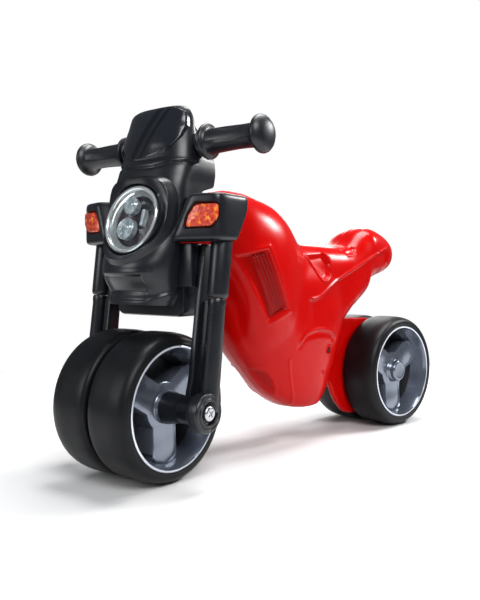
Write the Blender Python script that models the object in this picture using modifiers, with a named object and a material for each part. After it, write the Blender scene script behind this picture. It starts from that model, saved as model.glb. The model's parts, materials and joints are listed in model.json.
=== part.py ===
"""Child's ride-on push motorcycle.

Every piece is its own closed solid, in metres, +Z up.  The front faces -Y and the rider's left
is +X.  The origin is on the ground, at the middle of the overall length.  Places are measured from
the point on the ground under the front axle when it points straight ahead, which is where the
empty called datum stands, so y is the distance behind the front axle.

The front end is drawn pointing straight ahead and hangs from the empty called steering_axis,
which stands on the steering axis and is turned by STEER_REST.
"""
import math

import bmesh
import bpy
from mathutils import Matrix, Vector

# Driving dimensions.
WHEELBASE = 0.5024
LENGTH_SHIFT = 0.0035
WHEEL_R = 0.0934
WHEEL_WIDTH = 0.0625
FRONT_WHEEL_INNER = 0.0025
REAR_WHEEL_INNER = 0.0062
STEER_REST = math.radians(9.7)
STEER_RAKE = math.radians(1.6)
STEER_PIVOT = Vector((0, 0.0213, WHEEL_R))
GAP = 0.0003

# Body.
WALL = 0.004
FIN_HALF = 0.0045
HEAD_BORE_R = 0.0150
HEAD_LOW = 0.265
HEAD_TOP = 0.362
FLANGE_LIFT = 0.0009
FLANGE_TOP = 0.0031
BUSH_DEPTH = 0.014
FLANGE_R = 0.0190

# Front end.
STEM_R = 0.010
TUBE_WALL = 0.002
CLAMP_Z = 0.427
BAR_Y = 0.049
BAR_R = 0.0105
BAR_HALF = 0.150
BLADE_IN = 0.0760
BLADE_OUT = 0.0840
TUBE_X = 0.105
TUBE_R = 0.0133
LOWER_R = 0.0105
TUBE_FOOT_Y = 0.011
TUBE_LEAN = 0.12
TUBE_BREAK_Z = 0.229
TUBE_TOP_Z = 0.318
BOSS_R = 0.0235
BOSS_FACE = 0.1146
SHELL = 0.003
LAMP_R = 0.0455
RING_R = 0.0430
BOWL_R = 0.0382
LAMP_CENTRE = Vector((0, -0.0130, 0.3265))
LAMP_LEAN = math.radians(16)
AXLE_R = 0.005
SPACER_R = 0.0195

# Colours: base colour, roughness, metallic.
FINISHES = {
    "red_plastic": ((0.62, 0.01, 0.01), 0.25, 0.0),
    "black_plastic": ((0.022, 0.024, 0.028), 0.35, 0.0),
    "screen_plastic": ((0.03, 0.032, 0.036), 0.2, 0.0),
    "tyre_rubber": ((0.012, 0.012, 0.013), 0.55, 0.0),
    "grip_rubber": ((0.016, 0.016, 0.018), 0.5, 0.0),
    "rim_plastic": ((0.33, 0.35, 0.4), 0.3, 0.2),
    "steel": ((0.6, 0.6, 0.62), 0.3, 1.0),
    "nylon": ((0.75, 0.75, 0.72), 0.5, 0.0),
    "chrome": ((0.8, 0.82, 0.85), 0.08, 1.0),
    "lamp_dark": ((0.03, 0.02, 0.03), 0.3, 0.0),
    "lamp_glass": ((0.75, 0.85, 0.9), 0.08, 0.0),
    "clear_lens": ((0.85, 0.93, 0.95), 0.05, 0.0),
    "amber_lens": ((0.8, 0.12, 0.01), 0.2, 0.0),
}


def clear_scene():
    for obj in list(bpy.data.objects):
        bpy.data.objects.remove(obj, do_unlink=True)


def make_collection(name):
    collection = bpy.data.collections.new(name)
    bpy.context.scene.collection.children.link(collection)
    return collection


clear_scene()
PARTS = make_collection("ride_on_motorcycle")
CUTTERS = make_collection("cutters")
MATERIALS = {}


def material(slot):
    if slot not in MATERIALS:
        colour, roughness, metallic = FINISHES[slot]
        made = bpy.data.materials.new(slot)
        made.use_nodes = True
        shader = made.node_tree.nodes["Principled BSDF"]
        shader.inputs["Base Color"].default_value = (*colour, 1)
        shader.inputs["Roughness"].default_value = roughness
        shader.inputs["Metallic"].default_value = metallic
        made.diffuse_color = (*colour, 1)
        MATERIALS[slot] = made
    return MATERIALS[slot]


def make_empty(name, location, rotation, parent):
    empty = bpy.data.objects.new(name, None)
    PARTS.objects.link(empty)
    empty.matrix_world = Matrix.Translation(location) @ rotation
    if parent:
        empty.parent = parent
    return empty


STEER_AXIS = Vector((0, math.sin(STEER_RAKE), math.cos(STEER_RAKE)))
DATUM = make_empty("datum", (0, LENGTH_SHIFT - WHEELBASE / 2, 0), Matrix.Identity(4), None)
STEERING = make_empty("steering_axis", STEER_PIVOT, Matrix.Rotation(STEER_REST, 4, STEER_AXIS), DATUM)


def attach(obj, body):
    """Hang a piece from the datum or from the steering axis, keeping its straight-ahead place."""
    obj.parent = body
    if body is STEERING:
        obj.matrix_parent_inverse = Matrix.Translation(-STEER_PIVOT)


def piece(name, mesh, slot, body, matrix=None, angle=35):
    """A named part, shaded smooth apart from its edges."""
    mesh.shade_smooth()
    mesh.set_sharp_from_angle(angle=math.radians(angle))
    mesh.materials.clear()
    mesh.materials.append(material(slot))
    obj = bpy.data.objects.new(name, mesh)
    PARTS.objects.link(obj)
    attach(obj, body)
    if matrix:
        obj.matrix_basis = matrix
    return obj


def cutter(name, mesh, body, matrix=None):
    obj = bpy.data.objects.new(name, mesh)
    CUTTERS.objects.link(obj)
    attach(obj, body)
    if matrix:
        obj.matrix_basis = matrix
    obj.hide_render = True
    obj.display_type = "WIRE"
    return obj


def combine(obj, other, operation):
    modifier = obj.modifiers.new(operation.lower(), "BOOLEAN")
    modifier.operation = operation
    modifier.solver = "EXACT"
    modifier.object = other


def cut(obj, *others):
    for other in others:
        combine(obj, other, "DIFFERENCE")


def join(obj, *others):
    for other in others:
        combine(obj, other, "UNION")


def mesh_from(bm, name):
    bmesh.ops.recalc_face_normals(bm, faces=bm.faces[:])
    mesh = bpy.data.meshes.new(name)
    bm.to_mesh(mesh)
    bm.free()
    return mesh


def evaluated_mesh(obj, name):
    """The object's evaluated mesh, welded; the object itself is removed."""
    bpy.context.view_layer.update()
    graph = bpy.context.evaluated_depsgraph_get()
    mesh = bpy.data.meshes.new_from_object(obj.evaluated_get(graph))
    mesh.name = name
    bpy.data.objects.remove(obj, do_unlink=True)
    bm = bmesh.new()
    bm.from_mesh(mesh)
    bmesh.ops.remove_doubles(bm, verts=bm.verts[:], dist=0.000001)
    bmesh.ops.recalc_face_normals(bm, faces=bm.faces[:])
    bm.to_mesh(mesh)
    bm.free()
    return mesh


def box_mesh(name, low, high, bevel=0.0):
    """A box between two corners, with its edges rounded by bevel."""
    low = Vector(low)
    high = Vector(high)
    bm = bmesh.new()
    bmesh.ops.create_cube(bm, size=1)
    bmesh.ops.scale(bm, vec=high - low, verts=bm.verts[:])
    bmesh.ops.translate(bm, vec=(low + high) / 2, verts=bm.verts[:])
    if bevel:
        bmesh.ops.bevel(bm, geom=bm.edges[:], offset=bevel, segments=2, profile=0.5, affect="EDGES")
    return mesh_from(bm, name)


def cylinder_mesh(name, radius, start, end, segments=20, radius_end=None):
    """A capped cylinder or cone between two points."""
    start = Vector(start)
    end = Vector(end)
    bm = bmesh.new()
    bmesh.ops.create_cone(bm, cap_ends=True, segments=segments, radius1=radius,
                          radius2=radius_end or radius, depth=(end - start).length)
    turn = Vector((0, 0, 1)).rotation_difference(end - start).to_matrix().to_4x4()
    bmesh.ops.transform(bm, matrix=Matrix.Translation((start + end) / 2) @ turn, verts=bm.verts[:])
    return mesh_from(bm, name)


def turned_mesh(name, profile, segments=24, closed=False, along_x=True):
    """Turn a profile of (radius, height) points, listed from the top down its outer side.

    With along_x the heights lie along +X and a flat facet is lowest, otherwise they lie along +Z.
    """
    mesh = bpy.data.meshes.new(name)
    points = [(radius, 0, height) for radius, height in profile]
    edges = [(i, i + 1) for i in range(len(points) - 1)]
    if closed:
        edges.append((len(points) - 1, 0))
    mesh.from_pydata(points, edges, [])
    obj = bpy.data.objects.new(name, mesh)
    CUTTERS.objects.link(obj)
    screw = obj.modifiers.new("turn", "SCREW")
    screw.steps = segments
    screw.render_steps = segments
    screw.use_merge_vertices = True
    screw.merge_threshold = 0.00001
    turned = evaluated_mesh(obj, name)
    turned.transform(Matrix.Rotation(math.pi / segments, 4, "Z"))
    if along_x:
        turned.transform(Matrix.Rotation(math.pi / 2, 4, "Y"))
    return turned


def plate_mesh(name, outline, half_thickness, matrix):
    """A flat plate from a closed 2D outline, moved by matrix."""
    curve = bpy.data.curves.new(name, "CURVE")
    curve.dimensions = "2D"
    curve.fill_mode = "BOTH"
    curve.extrude = half_thickness
    spline = curve.splines.new("POLY")
    spline.points.add(len(outline) - 1)
    for point, (across, up) in zip(spline.points, outline):
        point.co = (across, up, 0, 1)
    spline.use_cyclic_u = True
    obj = bpy.data.objects.new(name, curve)
    CUTTERS.objects.link(obj)
    mesh = evaluated_mesh(obj, name)
    mesh.transform(matrix)
    return mesh


def arc(centre, radius, start, end, count):
    """Points on an arc, angles in degrees."""
    angles = [math.radians(start + (end - start) * i / (count - 1)) for i in range(count)]
    return [(centre[0] + radius * math.cos(a), centre[1] + radius * math.sin(a)) for a in angles]


# Takes an outline's (across, up) to the (y, z) of a plate that faces +X.
FACING_X = Matrix(((0, 0, 1, 0), (1, 0, 0, 0), (0, 1, 0, 0), (0, 0, 0, 1)))


def superellipse(angle, half_a, half_b, squareness):
    cos_a = math.cos(angle)
    sin_a = math.sin(angle)
    power = 2 / squareness
    across = math.copysign(abs(cos_a) ** power, cos_a) * half_a
    up = math.copysign(abs(sin_a) ** power, sin_a) * half_b
    return across, up


def loft_mesh(name, rings, closed=True, cap_ends=True):
    """Skin rows of points; closed rows make a tube, and the end rows are capped."""
    bm = bmesh.new()
    rows = [[bm.verts.new(point) for point in ring] for ring in rings]
    count = len(rows[0])
    for low, high in zip(rows, rows[1:]):
        for i in range(count if closed else count - 1):
            j = (i + 1) % count
            bm.faces.new((low[i], low[j], high[j], high[i]))
    if cap_ends:
        bm.faces.new(list(reversed(rows[0])))
        bm.faces.new(rows[-1])
    return mesh_from(bm, name)


# ---------------------------------------------------------------- body

# Tank, seat and tail: y, underside z, top z, half-width, squareness.
UPPER_STATIONS = [
    (0.0085, 0.272, 0.356, 0.0060, 2.6),
    (0.0110, 0.268, 0.360, 0.0105, 3.0),
    (0.0160, 0.265, 0.362, 0.0155, 3.4),
    (0.0240, 0.265, 0.362, 0.0195, 3.4),
    (0.0450, 0.265, 0.362, 0.0250, 3.2),
    (0.085, 0.265, 0.362, 0.030, 3.0),
    (0.104, 0.262, 0.3680, 0.037, 2.8),
    (0.120, 0.246, 0.3750, 0.049, 2.6),
    (0.136, 0.212, 0.3790, 0.058, 2.5),
    (0.155, 0.160, 0.3790, 0.066, 2.5),
    (0.185, 0.126, 0.3740, 0.069, 2.5),
    (0.212, 0.118, 0.3670, 0.067, 2.5),
    (0.230, 0.118, 0.3580, 0.063, 2.5),
    (0.244, 0.120, 0.3460, 0.059, 2.6),
    (0.256, 0.122, 0.3320, 0.055, 2.7),
    (0.269, 0.125, 0.3150, 0.051, 3.0),
    (0.286, 0.130, 0.3085, 0.049, 3.2),
    (0.330, 0.145, 0.3070, 0.048, 3.2),
    (0.374, 0.172, 0.3060, 0.048, 3.0),
    (0.393, 0.190, 0.3070, 0.049, 2.8),
    (0.410, 0.201, 0.3150, 0.050, 2.6),
    (0.428, 0.212, 0.3315, 0.050, 2.5),
    (0.448, 0.228, 0.3405, 0.050, 2.5),
    (0.464, 0.244, 0.3415, 0.048, 2.5),
    (0.487, 0.257, 0.3370, 0.044, 2.4),
    (0.511, 0.265, 0.3280, 0.038, 2.3),
    (0.525, 0.273, 0.3190, 0.029, 2.2),
    (0.533, 0.286, 0.3080, 0.012, 2.0),
]
# Belly: z, front y, rear y, half-width, squareness.
LOWER_STATIONS = [
    (0.0490, 0.282, 0.321, 0.021, 2.4),
    (0.0520, 0.265, 0.333, 0.032, 2.4),
    (0.0600, 0.242, 0.340, 0.040, 2.4),
    (0.0735, 0.216, 0.351, 0.047, 2.4),
    (0.0970, 0.189, 0.362, 0.050, 2.2),
    (0.1190, 0.1695, 0.372, 0.053, 2.3),
    (0.1430, 0.1515, 0.380, 0.0545, 2.4),
    (0.1660, 0.1395, 0.388, 0.0545, 2.4),
    (0.2010, 0.1290, 0.394, 0.0530, 2.5),
    (0.2400, 0.122, 0.398, 0.0480, 2.5),
    (0.2750, 0.124, 0.390, 0.0380, 2.5),
]
RING_POINTS = 16


def upper_rings(inset):
    """Cross-sections of the tank, seat and tail, shrunk by inset."""
    rings = []
    for y, low, high, half, squareness in UPPER_STATIONS:
        rise = (high - low) / 2 - inset
        width = half - inset
        beyond = y < UPPER_STATIONS[0][0] + inset or y > UPPER_STATIONS[-1][0] - inset
        if beyond or min(rise, width) < WALL:
            continue
        ring = []
        for i in range(RING_POINTS):
            across, up = superellipse(2 * math.pi * i / RING_POINTS, width, rise, squareness)
            ring.append((across, y, (low + high) / 2 + up))
        rings.append(ring)
    return rings


def lower_rings(inset):
    """Level sections of the belly, shrunk by inset."""
    rings = []
    for z, front, rear, half, squareness in LOWER_STATIONS:
        if z < LOWER_STATIONS[0][0] + inset:
            continue
        z -= inset if z == LOWER_STATIONS[-1][0] else 0
        ring = []
        for i in range(RING_POINTS):
            across, along = superellipse(2 * math.pi * i / RING_POINTS, half - inset,
                                         (rear - front) / 2 - inset, squareness)
            ring.append((across, (front + rear) / 2 + along, z))
        rings.append(ring)
    return rings


def fin_outline():
    """The plate that carries the rear axle between the wheels, as (y, z)."""
    axle = (WHEELBASE, WHEEL_R)
    front = [(0.340, 0.180), (0.340, 0.085), (0.381, 0.080), (0.391, 0.0585), (0.402, 0.042),
             (0.4175, 0.0270), (0.433, 0.0215)]
    back = arc(axle, 0.078, -100, 60, 14)
    top = [(0.500, 0.180), (0.478, 0.184), (0.420, 0.186)]
    return front + back + top


def steering_line(z):
    """The point of the steering axis at height z."""
    return STEER_PIVOT + STEER_AXIS * ((z - STEER_PIVOT.z) / STEER_AXIS.z)


def make_body():
    shell = piece("body_shell", loft_mesh("body_shell", upper_rings(0)), "red_plastic", DATUM)
    belly = cutter("belly_form", loft_mesh("belly_form", lower_rings(0)), DATUM)
    fin = cutter("fin_form", plate_mesh("fin_form", fin_outline(), FIN_HALF, FACING_X), DATUM)
    inside_top = cutter("inside_upper", loft_mesh("inside_upper", upper_rings(WALL)), DATUM)
    inside_low = cutter("inside_lower", loft_mesh("inside_lower", lower_rings(WALL)), DATUM)
    join(shell, belly)
    cut(shell, inside_top, inside_low)
    join(shell, fin)
    bore = cylinder_mesh("head_bore", HEAD_BORE_R, steering_line(0.24), steering_line(0.40), 24)
    cut(shell, cutter("head_bore", bore, DATUM))
    reach = 0.03
    hole = cylinder_mesh("axle_hole", AXLE_R + GAP, (-reach, WHEELBASE, WHEEL_R), (reach, WHEELBASE, WHEEL_R))
    cut(shell, cutter("axle_hole", hole, DATUM))


def make_head_bushes():
    sleeve_in = STEM_R + GAP
    sleeve_out = HEAD_BORE_R - GAP
    tilt = Matrix.Rotation(-STEER_RAKE, 4, "X")
    upside_down = tilt @ Matrix.Rotation(math.pi, 4, "X")
    profile = [(sleeve_in, FLANGE_TOP), (FLANGE_R, FLANGE_TOP), (FLANGE_R, FLANGE_LIFT),
               (sleeve_out, FLANGE_LIFT), (sleeve_out, -BUSH_DEPTH), (sleeve_in, -BUSH_DEPTH)]
    for name, height, turn in (("head_bush_lower", HEAD_LOW, upside_down),
                               ("head_bush_upper", HEAD_TOP, tilt)):
        mesh = turned_mesh(name, profile, 20, closed=True, along_x=False)
        piece(name, mesh, "nylon", DATUM, Matrix.Translation(steering_line(height)) @ turn)


# ---------------------------------------------------------------- wheels

RIM_SEAT = 0.0780
DISH_FLOOR = 0.030
HUB_FACE = 0.0475
HUB_BORE = 0.0088


def tyre_mesh():
    """Smooth tyre with rounded shoulders; the lowest facet is at the wheel's radius."""
    outer = WHEEL_R / math.cos(math.pi / 32)
    inner = RIM_SEAT + 0.0006
    width = WHEEL_WIDTH
    profile = [
        (inner, width), (outer - 0.0022, width - 0.0020), (outer, width - 0.0090),
        (outer, 0.0090), (outer - 0.0022, 0.0020), (inner, 0),
    ]
    return turned_mesh("tyre", profile, 32, closed=True)


def rim_mesh():
    """Deep dished rim with a lip, a closed back web and a hub."""
    lip = WHEEL_WIDTH - 0.0008
    profile = [
        (HUB_BORE, HUB_FACE), (0.0175, HUB_FACE), (0.0200, DISH_FLOOR), (0.0500, DISH_FLOOR - 0.004),
        (0.0665, DISH_FLOOR + 0.006), (0.0735, lip), (RIM_SEAT, lip), (RIM_SEAT, 0.001),
        (0.0700, 0.001), (0.0620, 0.012), (0.0200, 0.012), (0.0175, 0.0005), (HUB_BORE, 0.0005),
    ]
    return turned_mesh("rim", profile, 24, closed=True)


def spoke_mesh(name, turn):
    """One wide tapering spoke, from the hub to the dish's wall, pointing along turn degrees."""
    sections = [(0.0120, 0.0100, 0.0440), (0.0300, 0.0120, 0.0400), (0.0500, 0.0165, 0.0405),
                (0.0700, 0.0215, 0.0480)]
    rings = []
    for radius, half, height in sections:
        rings.append([(0.018, -half, radius), (height - 0.006, -half, radius),
                      (height, -half * 0.35, radius), (height, half * 0.35, radius),
                      (height - 0.006, half, radius), (0.018, half, radius)])
    mesh = loft_mesh(name, rings)
    mesh.transform(Matrix.Rotation(math.radians(turn - 90), 4, "X"))
    return mesh


def make_wheel(name, x_inner, side, y, body):
    """A wheel: tyre, rim and hub bush, turning about X at its own origin."""
    facing = Matrix.Identity(4) if side > 0 else Matrix.Rotation(math.pi, 4, "Z")
    matrix = Matrix.Translation((side * x_inner, y, WHEEL_R)) @ facing
    piece(name + "_tyre", tyre_mesh(), "tyre_rubber", body, matrix, 30)
    rim = piece(name + "_rim", rim_mesh(), "rim_plastic", body, matrix, 30)
    for turn in (270, 150, 30):
        tool = name + "_spoke_" + str(turn)
        join(rim, cutter(tool, spoke_mesh(tool, turn), body, matrix))
    bush_in = AXLE_R + GAP
    bush_out = HUB_BORE - GAP
    bush = [(bush_in, HUB_FACE), (bush_out, HUB_FACE), (bush_out, 0.0005), (bush_in, 0.0005)]
    piece(name + "_hub_bush", turned_mesh(name + "_hub_bush", bush, 12, closed=True), "nylon", body, matrix)


def make_rear_axle():
    reach = REAR_WHEEL_INNER + HUB_FACE + 0.005
    centre = (0, WHEELBASE, WHEEL_R)
    rod = cylinder_mesh("rear_axle", AXLE_R, (-reach, *centre[1:]), (reach, *centre[1:]), 16)
    piece("rear_axle", rod, "steel", DATUM)
    for side, sign in (("left", 1), ("right", -1)):
        facing = Matrix.Identity(4) if sign > 0 else Matrix.Rotation(math.pi, 4, "Z")
        inner = FIN_HALF + GAP
        outer = REAR_WHEEL_INNER + 0.0005 - GAP
        washer = [(AXLE_R + GAP, outer), (0.014, outer), (0.014, inner), (AXLE_R + GAP, inner)]
        mesh = turned_mesh("rear_washer_" + side, washer, 16, closed=True)
        piece("rear_washer_" + side, mesh, "nylon", DATUM, Matrix.Translation(centre) @ facing)
        base = REAR_WHEEL_INNER + HUB_FACE + GAP
        face = base + 0.0075
        cap = [(0, face), (0.0125, face), (0.0145, face - 0.0015), (0.0145, base), (AXLE_R + GAP, base),
               (AXLE_R + GAP, reach + GAP), (0, reach + GAP)]
        mesh = turned_mesh("rear_hub_cap_" + side, cap, 20)
        piece("rear_hub_cap_" + side, mesh, "rim_plastic", DATUM, Matrix.Translation(centre) @ facing)


# ---------------------------------------------------------------- fork

def tube_point(side, z):
    """The middle of a fork tube at height z."""
    return Vector((side * TUBE_X, TUBE_FOOT_Y + TUBE_LEAN * (z - WHEEL_R), z))


def blade_mesh(name, side):
    """The flat inner blade of a fork leg, leaning with the tube."""
    low = WHEEL_R - 0.014
    high = 0.296
    rings = []
    for z, front, back in ((low, 0.012, 0.014), (WHEEL_R + 0.012, 0.014, 0.016), (0.130, 0.009, 0.012),
                           (high, 0.007, 0.010)):
        y = tube_point(side, z).y
        rings.append([(side * BLADE_IN, y - front, z), (side * BLADE_OUT, y - front, z),
                      (side * BLADE_OUT, y + back, z), (side * BLADE_IN, y + back, z)])
    return loft_mesh(name, rings)


def make_fork_leg(name, side):
    """Blade, lower tube, spigot and axle boss in one moulding, and the sleeve tube above it."""
    leg_name = "fork_leg_" + name
    leg = piece(leg_name, blade_mesh(leg_name, side), "black_plastic", STEERING)
    low = tube_point(side, WHEEL_R)
    split = tube_point(side, TUBE_BREAK_Z)
    spigot_top = tube_point(side, TUBE_BREAK_Z + 0.030)
    lower = cylinder_mesh("lower_tube_" + name, LOWER_R + 0.0012, low, split, 20, LOWER_R)
    spigot = cylinder_mesh("spigot_" + name, 0.0070, low, spigot_top, 16)
    web = []
    for z in (WHEEL_R, TUBE_BREAK_Z - 0.004):
        y = tube_point(side, z).y
        web.append([(side * 0.080, y - 0.004, z), (side * TUBE_X, y - 0.004, z),
                    (side * TUBE_X, y + 0.006, z), (side * 0.080, y + 0.006, z)])
    boss = cylinder_mesh("boss_" + name, BOSS_R, (side * BLADE_IN, 0, WHEEL_R),
                         (side * BOSS_FACE, 0, WHEEL_R), 28)
    upper_web = []
    for z in (TUBE_BREAK_Z - 0.006, 0.296):
        y = tube_point(side, z).y
        upper_web.append([(side * 0.080, y + 0.002, z), (side * 0.0911, y + 0.002, z),
                          (side * 0.0911, y + 0.009, z), (side * 0.080, y + 0.009, z)])
    join(leg, cutter("upper_web_" + name, loft_mesh("upper_web_" + name, upper_web), STEERING),
         cutter("lower_tube_" + name, lower, STEERING), cutter("spigot_" + name, spigot, STEERING),
         cutter("web_" + name, loft_mesh("web_" + name, web), STEERING),
         cutter("boss_" + name, boss, STEERING))
    recess = cylinder_mesh("boss_recess_" + name, 0.0130, (side * (BOSS_FACE - 0.006), 0, WHEEL_R),
                           (side * (BOSS_FACE + 0.01), 0, WHEEL_R), 24)
    bore = cylinder_mesh("axle_bore_" + name, AXLE_R + GAP, (side * 0.05, 0, WHEEL_R),
                         (side * 0.13, 0, WHEEL_R), 16)
    cut(leg, cutter("boss_recess_" + name, recess, STEERING), cutter("axle_bore_" + name, bore, STEERING))

    tube = cylinder_mesh("fork_tube_" + name, TUBE_R, tube_point(side, TUBE_BREAK_Z + GAP),
                         tube_point(side, TUBE_TOP_Z), 24)
    tube = piece("fork_tube_" + name, tube, "black_plastic", STEERING)
    socket = cylinder_mesh("tube_socket_" + name, 0.0074, tube_point(side, TUBE_BREAK_Z - 0.01),
                           tube_point(side, TUBE_TOP_Z + 0.01), 16)
    cut(tube, cutter("tube_socket_" + name, socket, STEERING))


def make_front_axle():
    reach = BOSS_FACE - 0.0065
    rod = cylinder_mesh("front_axle", AXLE_R, (-reach, 0, WHEEL_R), (reach, 0, WHEEL_R), 16)
    piece("front_axle", rod, "steel", STEERING)
    hub = FRONT_WHEEL_INNER + HUB_FACE + GAP
    for side, sign in (("left", 1), ("right", -1)):
        facing = Matrix.Identity(4) if sign > 0 else Matrix.Rotation(math.pi, 4, "Z")
        matrix = Matrix.Translation((0, 0, WHEEL_R)) @ facing
        spacer = [(AXLE_R + GAP, BLADE_IN - GAP), (0.0165, BLADE_IN - GAP), (SPACER_R, hub + 0.006),
                  (SPACER_R, hub), (AXLE_R + GAP, hub)]
        mesh = turned_mesh("axle_spacer_" + side, spacer, 16, closed=True)
        piece("axle_spacer_" + side, mesh, "black_plastic", STEERING, matrix)
        face = BOSS_FACE - 0.0015
        base = BOSS_FACE - 0.006 + GAP
        head = [(0, face), (0.0075, face), (0.0092, face - 0.0012), (0.0092, base), (0, base)]
        mesh = turned_mesh("axle_screw_" + side, head, 20)
        screw = piece("axle_screw_" + side, mesh, "steel", STEERING, matrix)
        for turn in (45, -45):
            slot = box_mesh("driver_slot", (face - 0.0015, -0.0055, -0.0009), (face + 0.005, 0.0055, 0.0009))
            turned = matrix @ Matrix.Rotation(math.radians(turn), 4, "X")
            cut(screw, cutter("driver_slot_" + side + str(turn), slot, STEERING, turned))
    spacer = FRONT_WHEEL_INNER + 0.0005 - GAP
    washer = [(AXLE_R + GAP, spacer), (0.0150, spacer), (0.0150, -spacer), (AXLE_R + GAP, -spacer)]
    mesh = turned_mesh("wheel_gap_washer", washer, 16, closed=True)
    piece("wheel_gap_washer", mesh, "nylon", STEERING, Matrix.Translation((0, 0, WHEEL_R)))


def make_crown():
    """The bridge over the wheels: a beam under the head, a front plate and the stem's socket."""
    side = BLADE_IN - GAP
    crown = box_mesh("fork_crown", (-side, 0.018, 0.243), (side, 0.056, 0.2605))
    crown = piece("fork_crown", crown, "black_plastic", STEERING)
    plate = box_mesh("crown_plate", (-side, 0.0125, 0.2425), (side, 0.034, 0.297))
    corner = 0.012
    foot = 0.2045 + corner
    chin = [(-0.060, 0.250)] + arc((corner - 0.060, foot), corner, 180, 270, 4)
    chin += arc((0.060 - corner, foot), corner, 270, 360, 4) + [(0.060, 0.250)]
    facing_front = Matrix.Translation((0, 0.036, 0)) @ Matrix.Rotation(math.pi / 2, 4, "X")
    skirt = plate_mesh("crown_skirt", chin, 0.016, facing_front)
    join(crown, cutter("crown_plate", plate, STEERING), cutter("crown_skirt", skirt, STEERING))
    hollow = box_mesh("crown_notch", (-0.046, -0.05, 0.2603), (0.046, 0.06, 0.4))
    socket = cylinder_mesh("stem_socket", STEM_R + GAP, steering_line(0.236), steering_line(0.35), 20)
    cut(crown, cutter("stem_socket", socket, STEERING), cutter("crown_notch", hollow, STEERING))


def make_stem():
    start = steering_line(0.236 + GAP)
    end = steering_line(0.411)
    stem = piece("steering_stem", cylinder_mesh("steering_stem", STEM_R, start, end, 20), "steel", STEERING)
    hollow = cylinder_mesh("stem_hollow", STEM_R - TUBE_WALL, steering_line(0.2), steering_line(0.5), 16)
    cut(stem, cutter("stem_hollow", hollow, STEERING))


# ---------------------------------------------------------------- handlebar

def make_handlebar():
    middle = (0, BAR_Y, CLAMP_Z)
    tube = cylinder_mesh("handlebar_tube", BAR_R, (-BAR_HALF, *middle[1:]), (BAR_HALF, *middle[1:]), 20)
    tube = piece("handlebar_tube", tube, "steel", STEERING)
    hollow = cylinder_mesh("bar_hollow", BAR_R - TUBE_WALL, (-0.2, *middle[1:]), (0.2, *middle[1:]), 16)
    cut(tube, cutter("bar_hollow", hollow, STEERING))

    clamp = box_mesh("bar_clamp", (-0.0175, 0.0365, 0.400), (0.0175, 0.0615, 0.4385), 0.002)
    clamp = piece("bar_clamp", clamp, "black_plastic", STEERING)
    foot = box_mesh("clamp_foot", (-0.0175, 0.0155, 0.398), (0.0175, 0.0600, 0.4130), 0.002)
    join(clamp, cutter("clamp_foot", foot, STEERING))
    seat = cylinder_mesh("clamp_seat", BAR_R + GAP, (-0.05, *middle[1:]), (0.05, *middle[1:]), 20)
    socket = cylinder_mesh("clamp_socket", STEM_R + GAP, steering_line(0.38), steering_line(0.4115), 20)
    cut(clamp, cutter("clamp_seat", seat, STEERING), cutter("clamp_socket", socket, STEERING))

    bore = BAR_R + GAP
    collar = [(bore, 0.0695), (0.0185, 0.0695), (0.0180, 0.0655), (0.0155, 0.0612), (bore, 0.0612)]
    grip = [(0, 0.1670), (0.0090, 0.1660), (0.0180, 0.1625), (0.0237, 0.1570), (0.0237, 0.1535),
            (0.0185, 0.1500), (0.0150, 0.1465), (0.0140, 0.1180), (0.0150, 0.0780), (0.0225, 0.0755),
            (0.0225, 0.0698), (bore, 0.0698), (bore, BAR_HALF + GAP), (0, BAR_HALF + GAP)]
    for side, sign in (("left", 1), ("right", -1)):
        facing = Matrix.Identity(4) if sign > 0 else Matrix.Rotation(math.pi, 4, "Z")
        matrix = Matrix.Translation(middle) @ facing
        mesh = turned_mesh("bar_collar_" + side, collar, 20, closed=True)
        piece("bar_collar_" + side, mesh, "black_plastic", STEERING, matrix, 25)
        piece("grip_" + side, turned_mesh("grip_" + side, grip, 20), "grip_rubber", STEERING, matrix)


# ---------------------------------------------------------------- fairing

# Height z, front y, half-width, depth of the rounded front, rear y, half-width at the rear.
FAIRING_STATIONS = [
    (0.2200, -0.0240, 0.0480, 0.033, 0.0110, 0.0480),
    (0.2320, -0.0240, 0.0520, 0.034, 0.0110, 0.0520),
    (0.2550, -0.0370, 0.0545, 0.045, 0.0110, 0.0545),
    (0.2660, -0.0385, 0.0560, 0.045, 0.0110, 0.0560),
    (0.2830, -0.0310, 0.0580, 0.036, 0.0110, 0.0580),
    (0.3030, -0.0222, 0.0600, 0.032, 0.0110, 0.0590),
    (0.3120, -0.0193, 0.0605, 0.031, 0.0400, 0.0590),
    (0.3260, -0.0150, 0.0610, 0.030, 0.0500, 0.0590),
    (0.3500, -0.0100, 0.0615, 0.029, 0.0500, 0.0590),
    (0.3640, -0.0080, 0.0615, 0.029, 0.0520, 0.0590),
    (0.3740, -0.0065, 0.0615, 0.030, 0.0780, 0.0570),
    (0.3900, -0.0020, 0.0620, 0.034, 0.0800, 0.0580),
    (0.4040, 0.0030, 0.0610, 0.034, 0.0800, 0.0570),
    (0.4160, 0.0060, 0.0595, 0.034, 0.0780, 0.0540),
    (0.4250, 0.0080, 0.0580, 0.033, 0.0760, 0.0520),
    (0.4400, 0.0125, 0.0550, 0.031, 0.0705, 0.0490),
    (0.4450, 0.0145, 0.0540, 0.029, 0.0610, 0.0480),
    (0.4500, 0.0165, 0.0530, 0.028, 0.0525, 0.0470),
    (0.4600, 0.0205, 0.0510, 0.024, 0.0480, 0.0450),
    (0.4680, 0.0245, 0.0480, 0.018, 0.0450, 0.0420),
    (0.4740, 0.0290, 0.0430, 0.012, 0.0430, 0.0380),
    (0.4765, 0.0320, 0.0340, 0.008, 0.0415, 0.0300),
]
NOSE_SQUARENESS = 2.3
EGG_HALF = 0.0555
EGG_ABOVE = 0.0540
EGG_BELOW = 0.0600
EGG_TOP_SQUARENESS = 4.0
EGG_FOOT_SQUARENESS = 2.1
SCREEN_FOOT = 0.40
SCREEN_WALL = 0.0028
COVER_FOOT = 0.385
COVER_TOP = 0.4700


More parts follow.
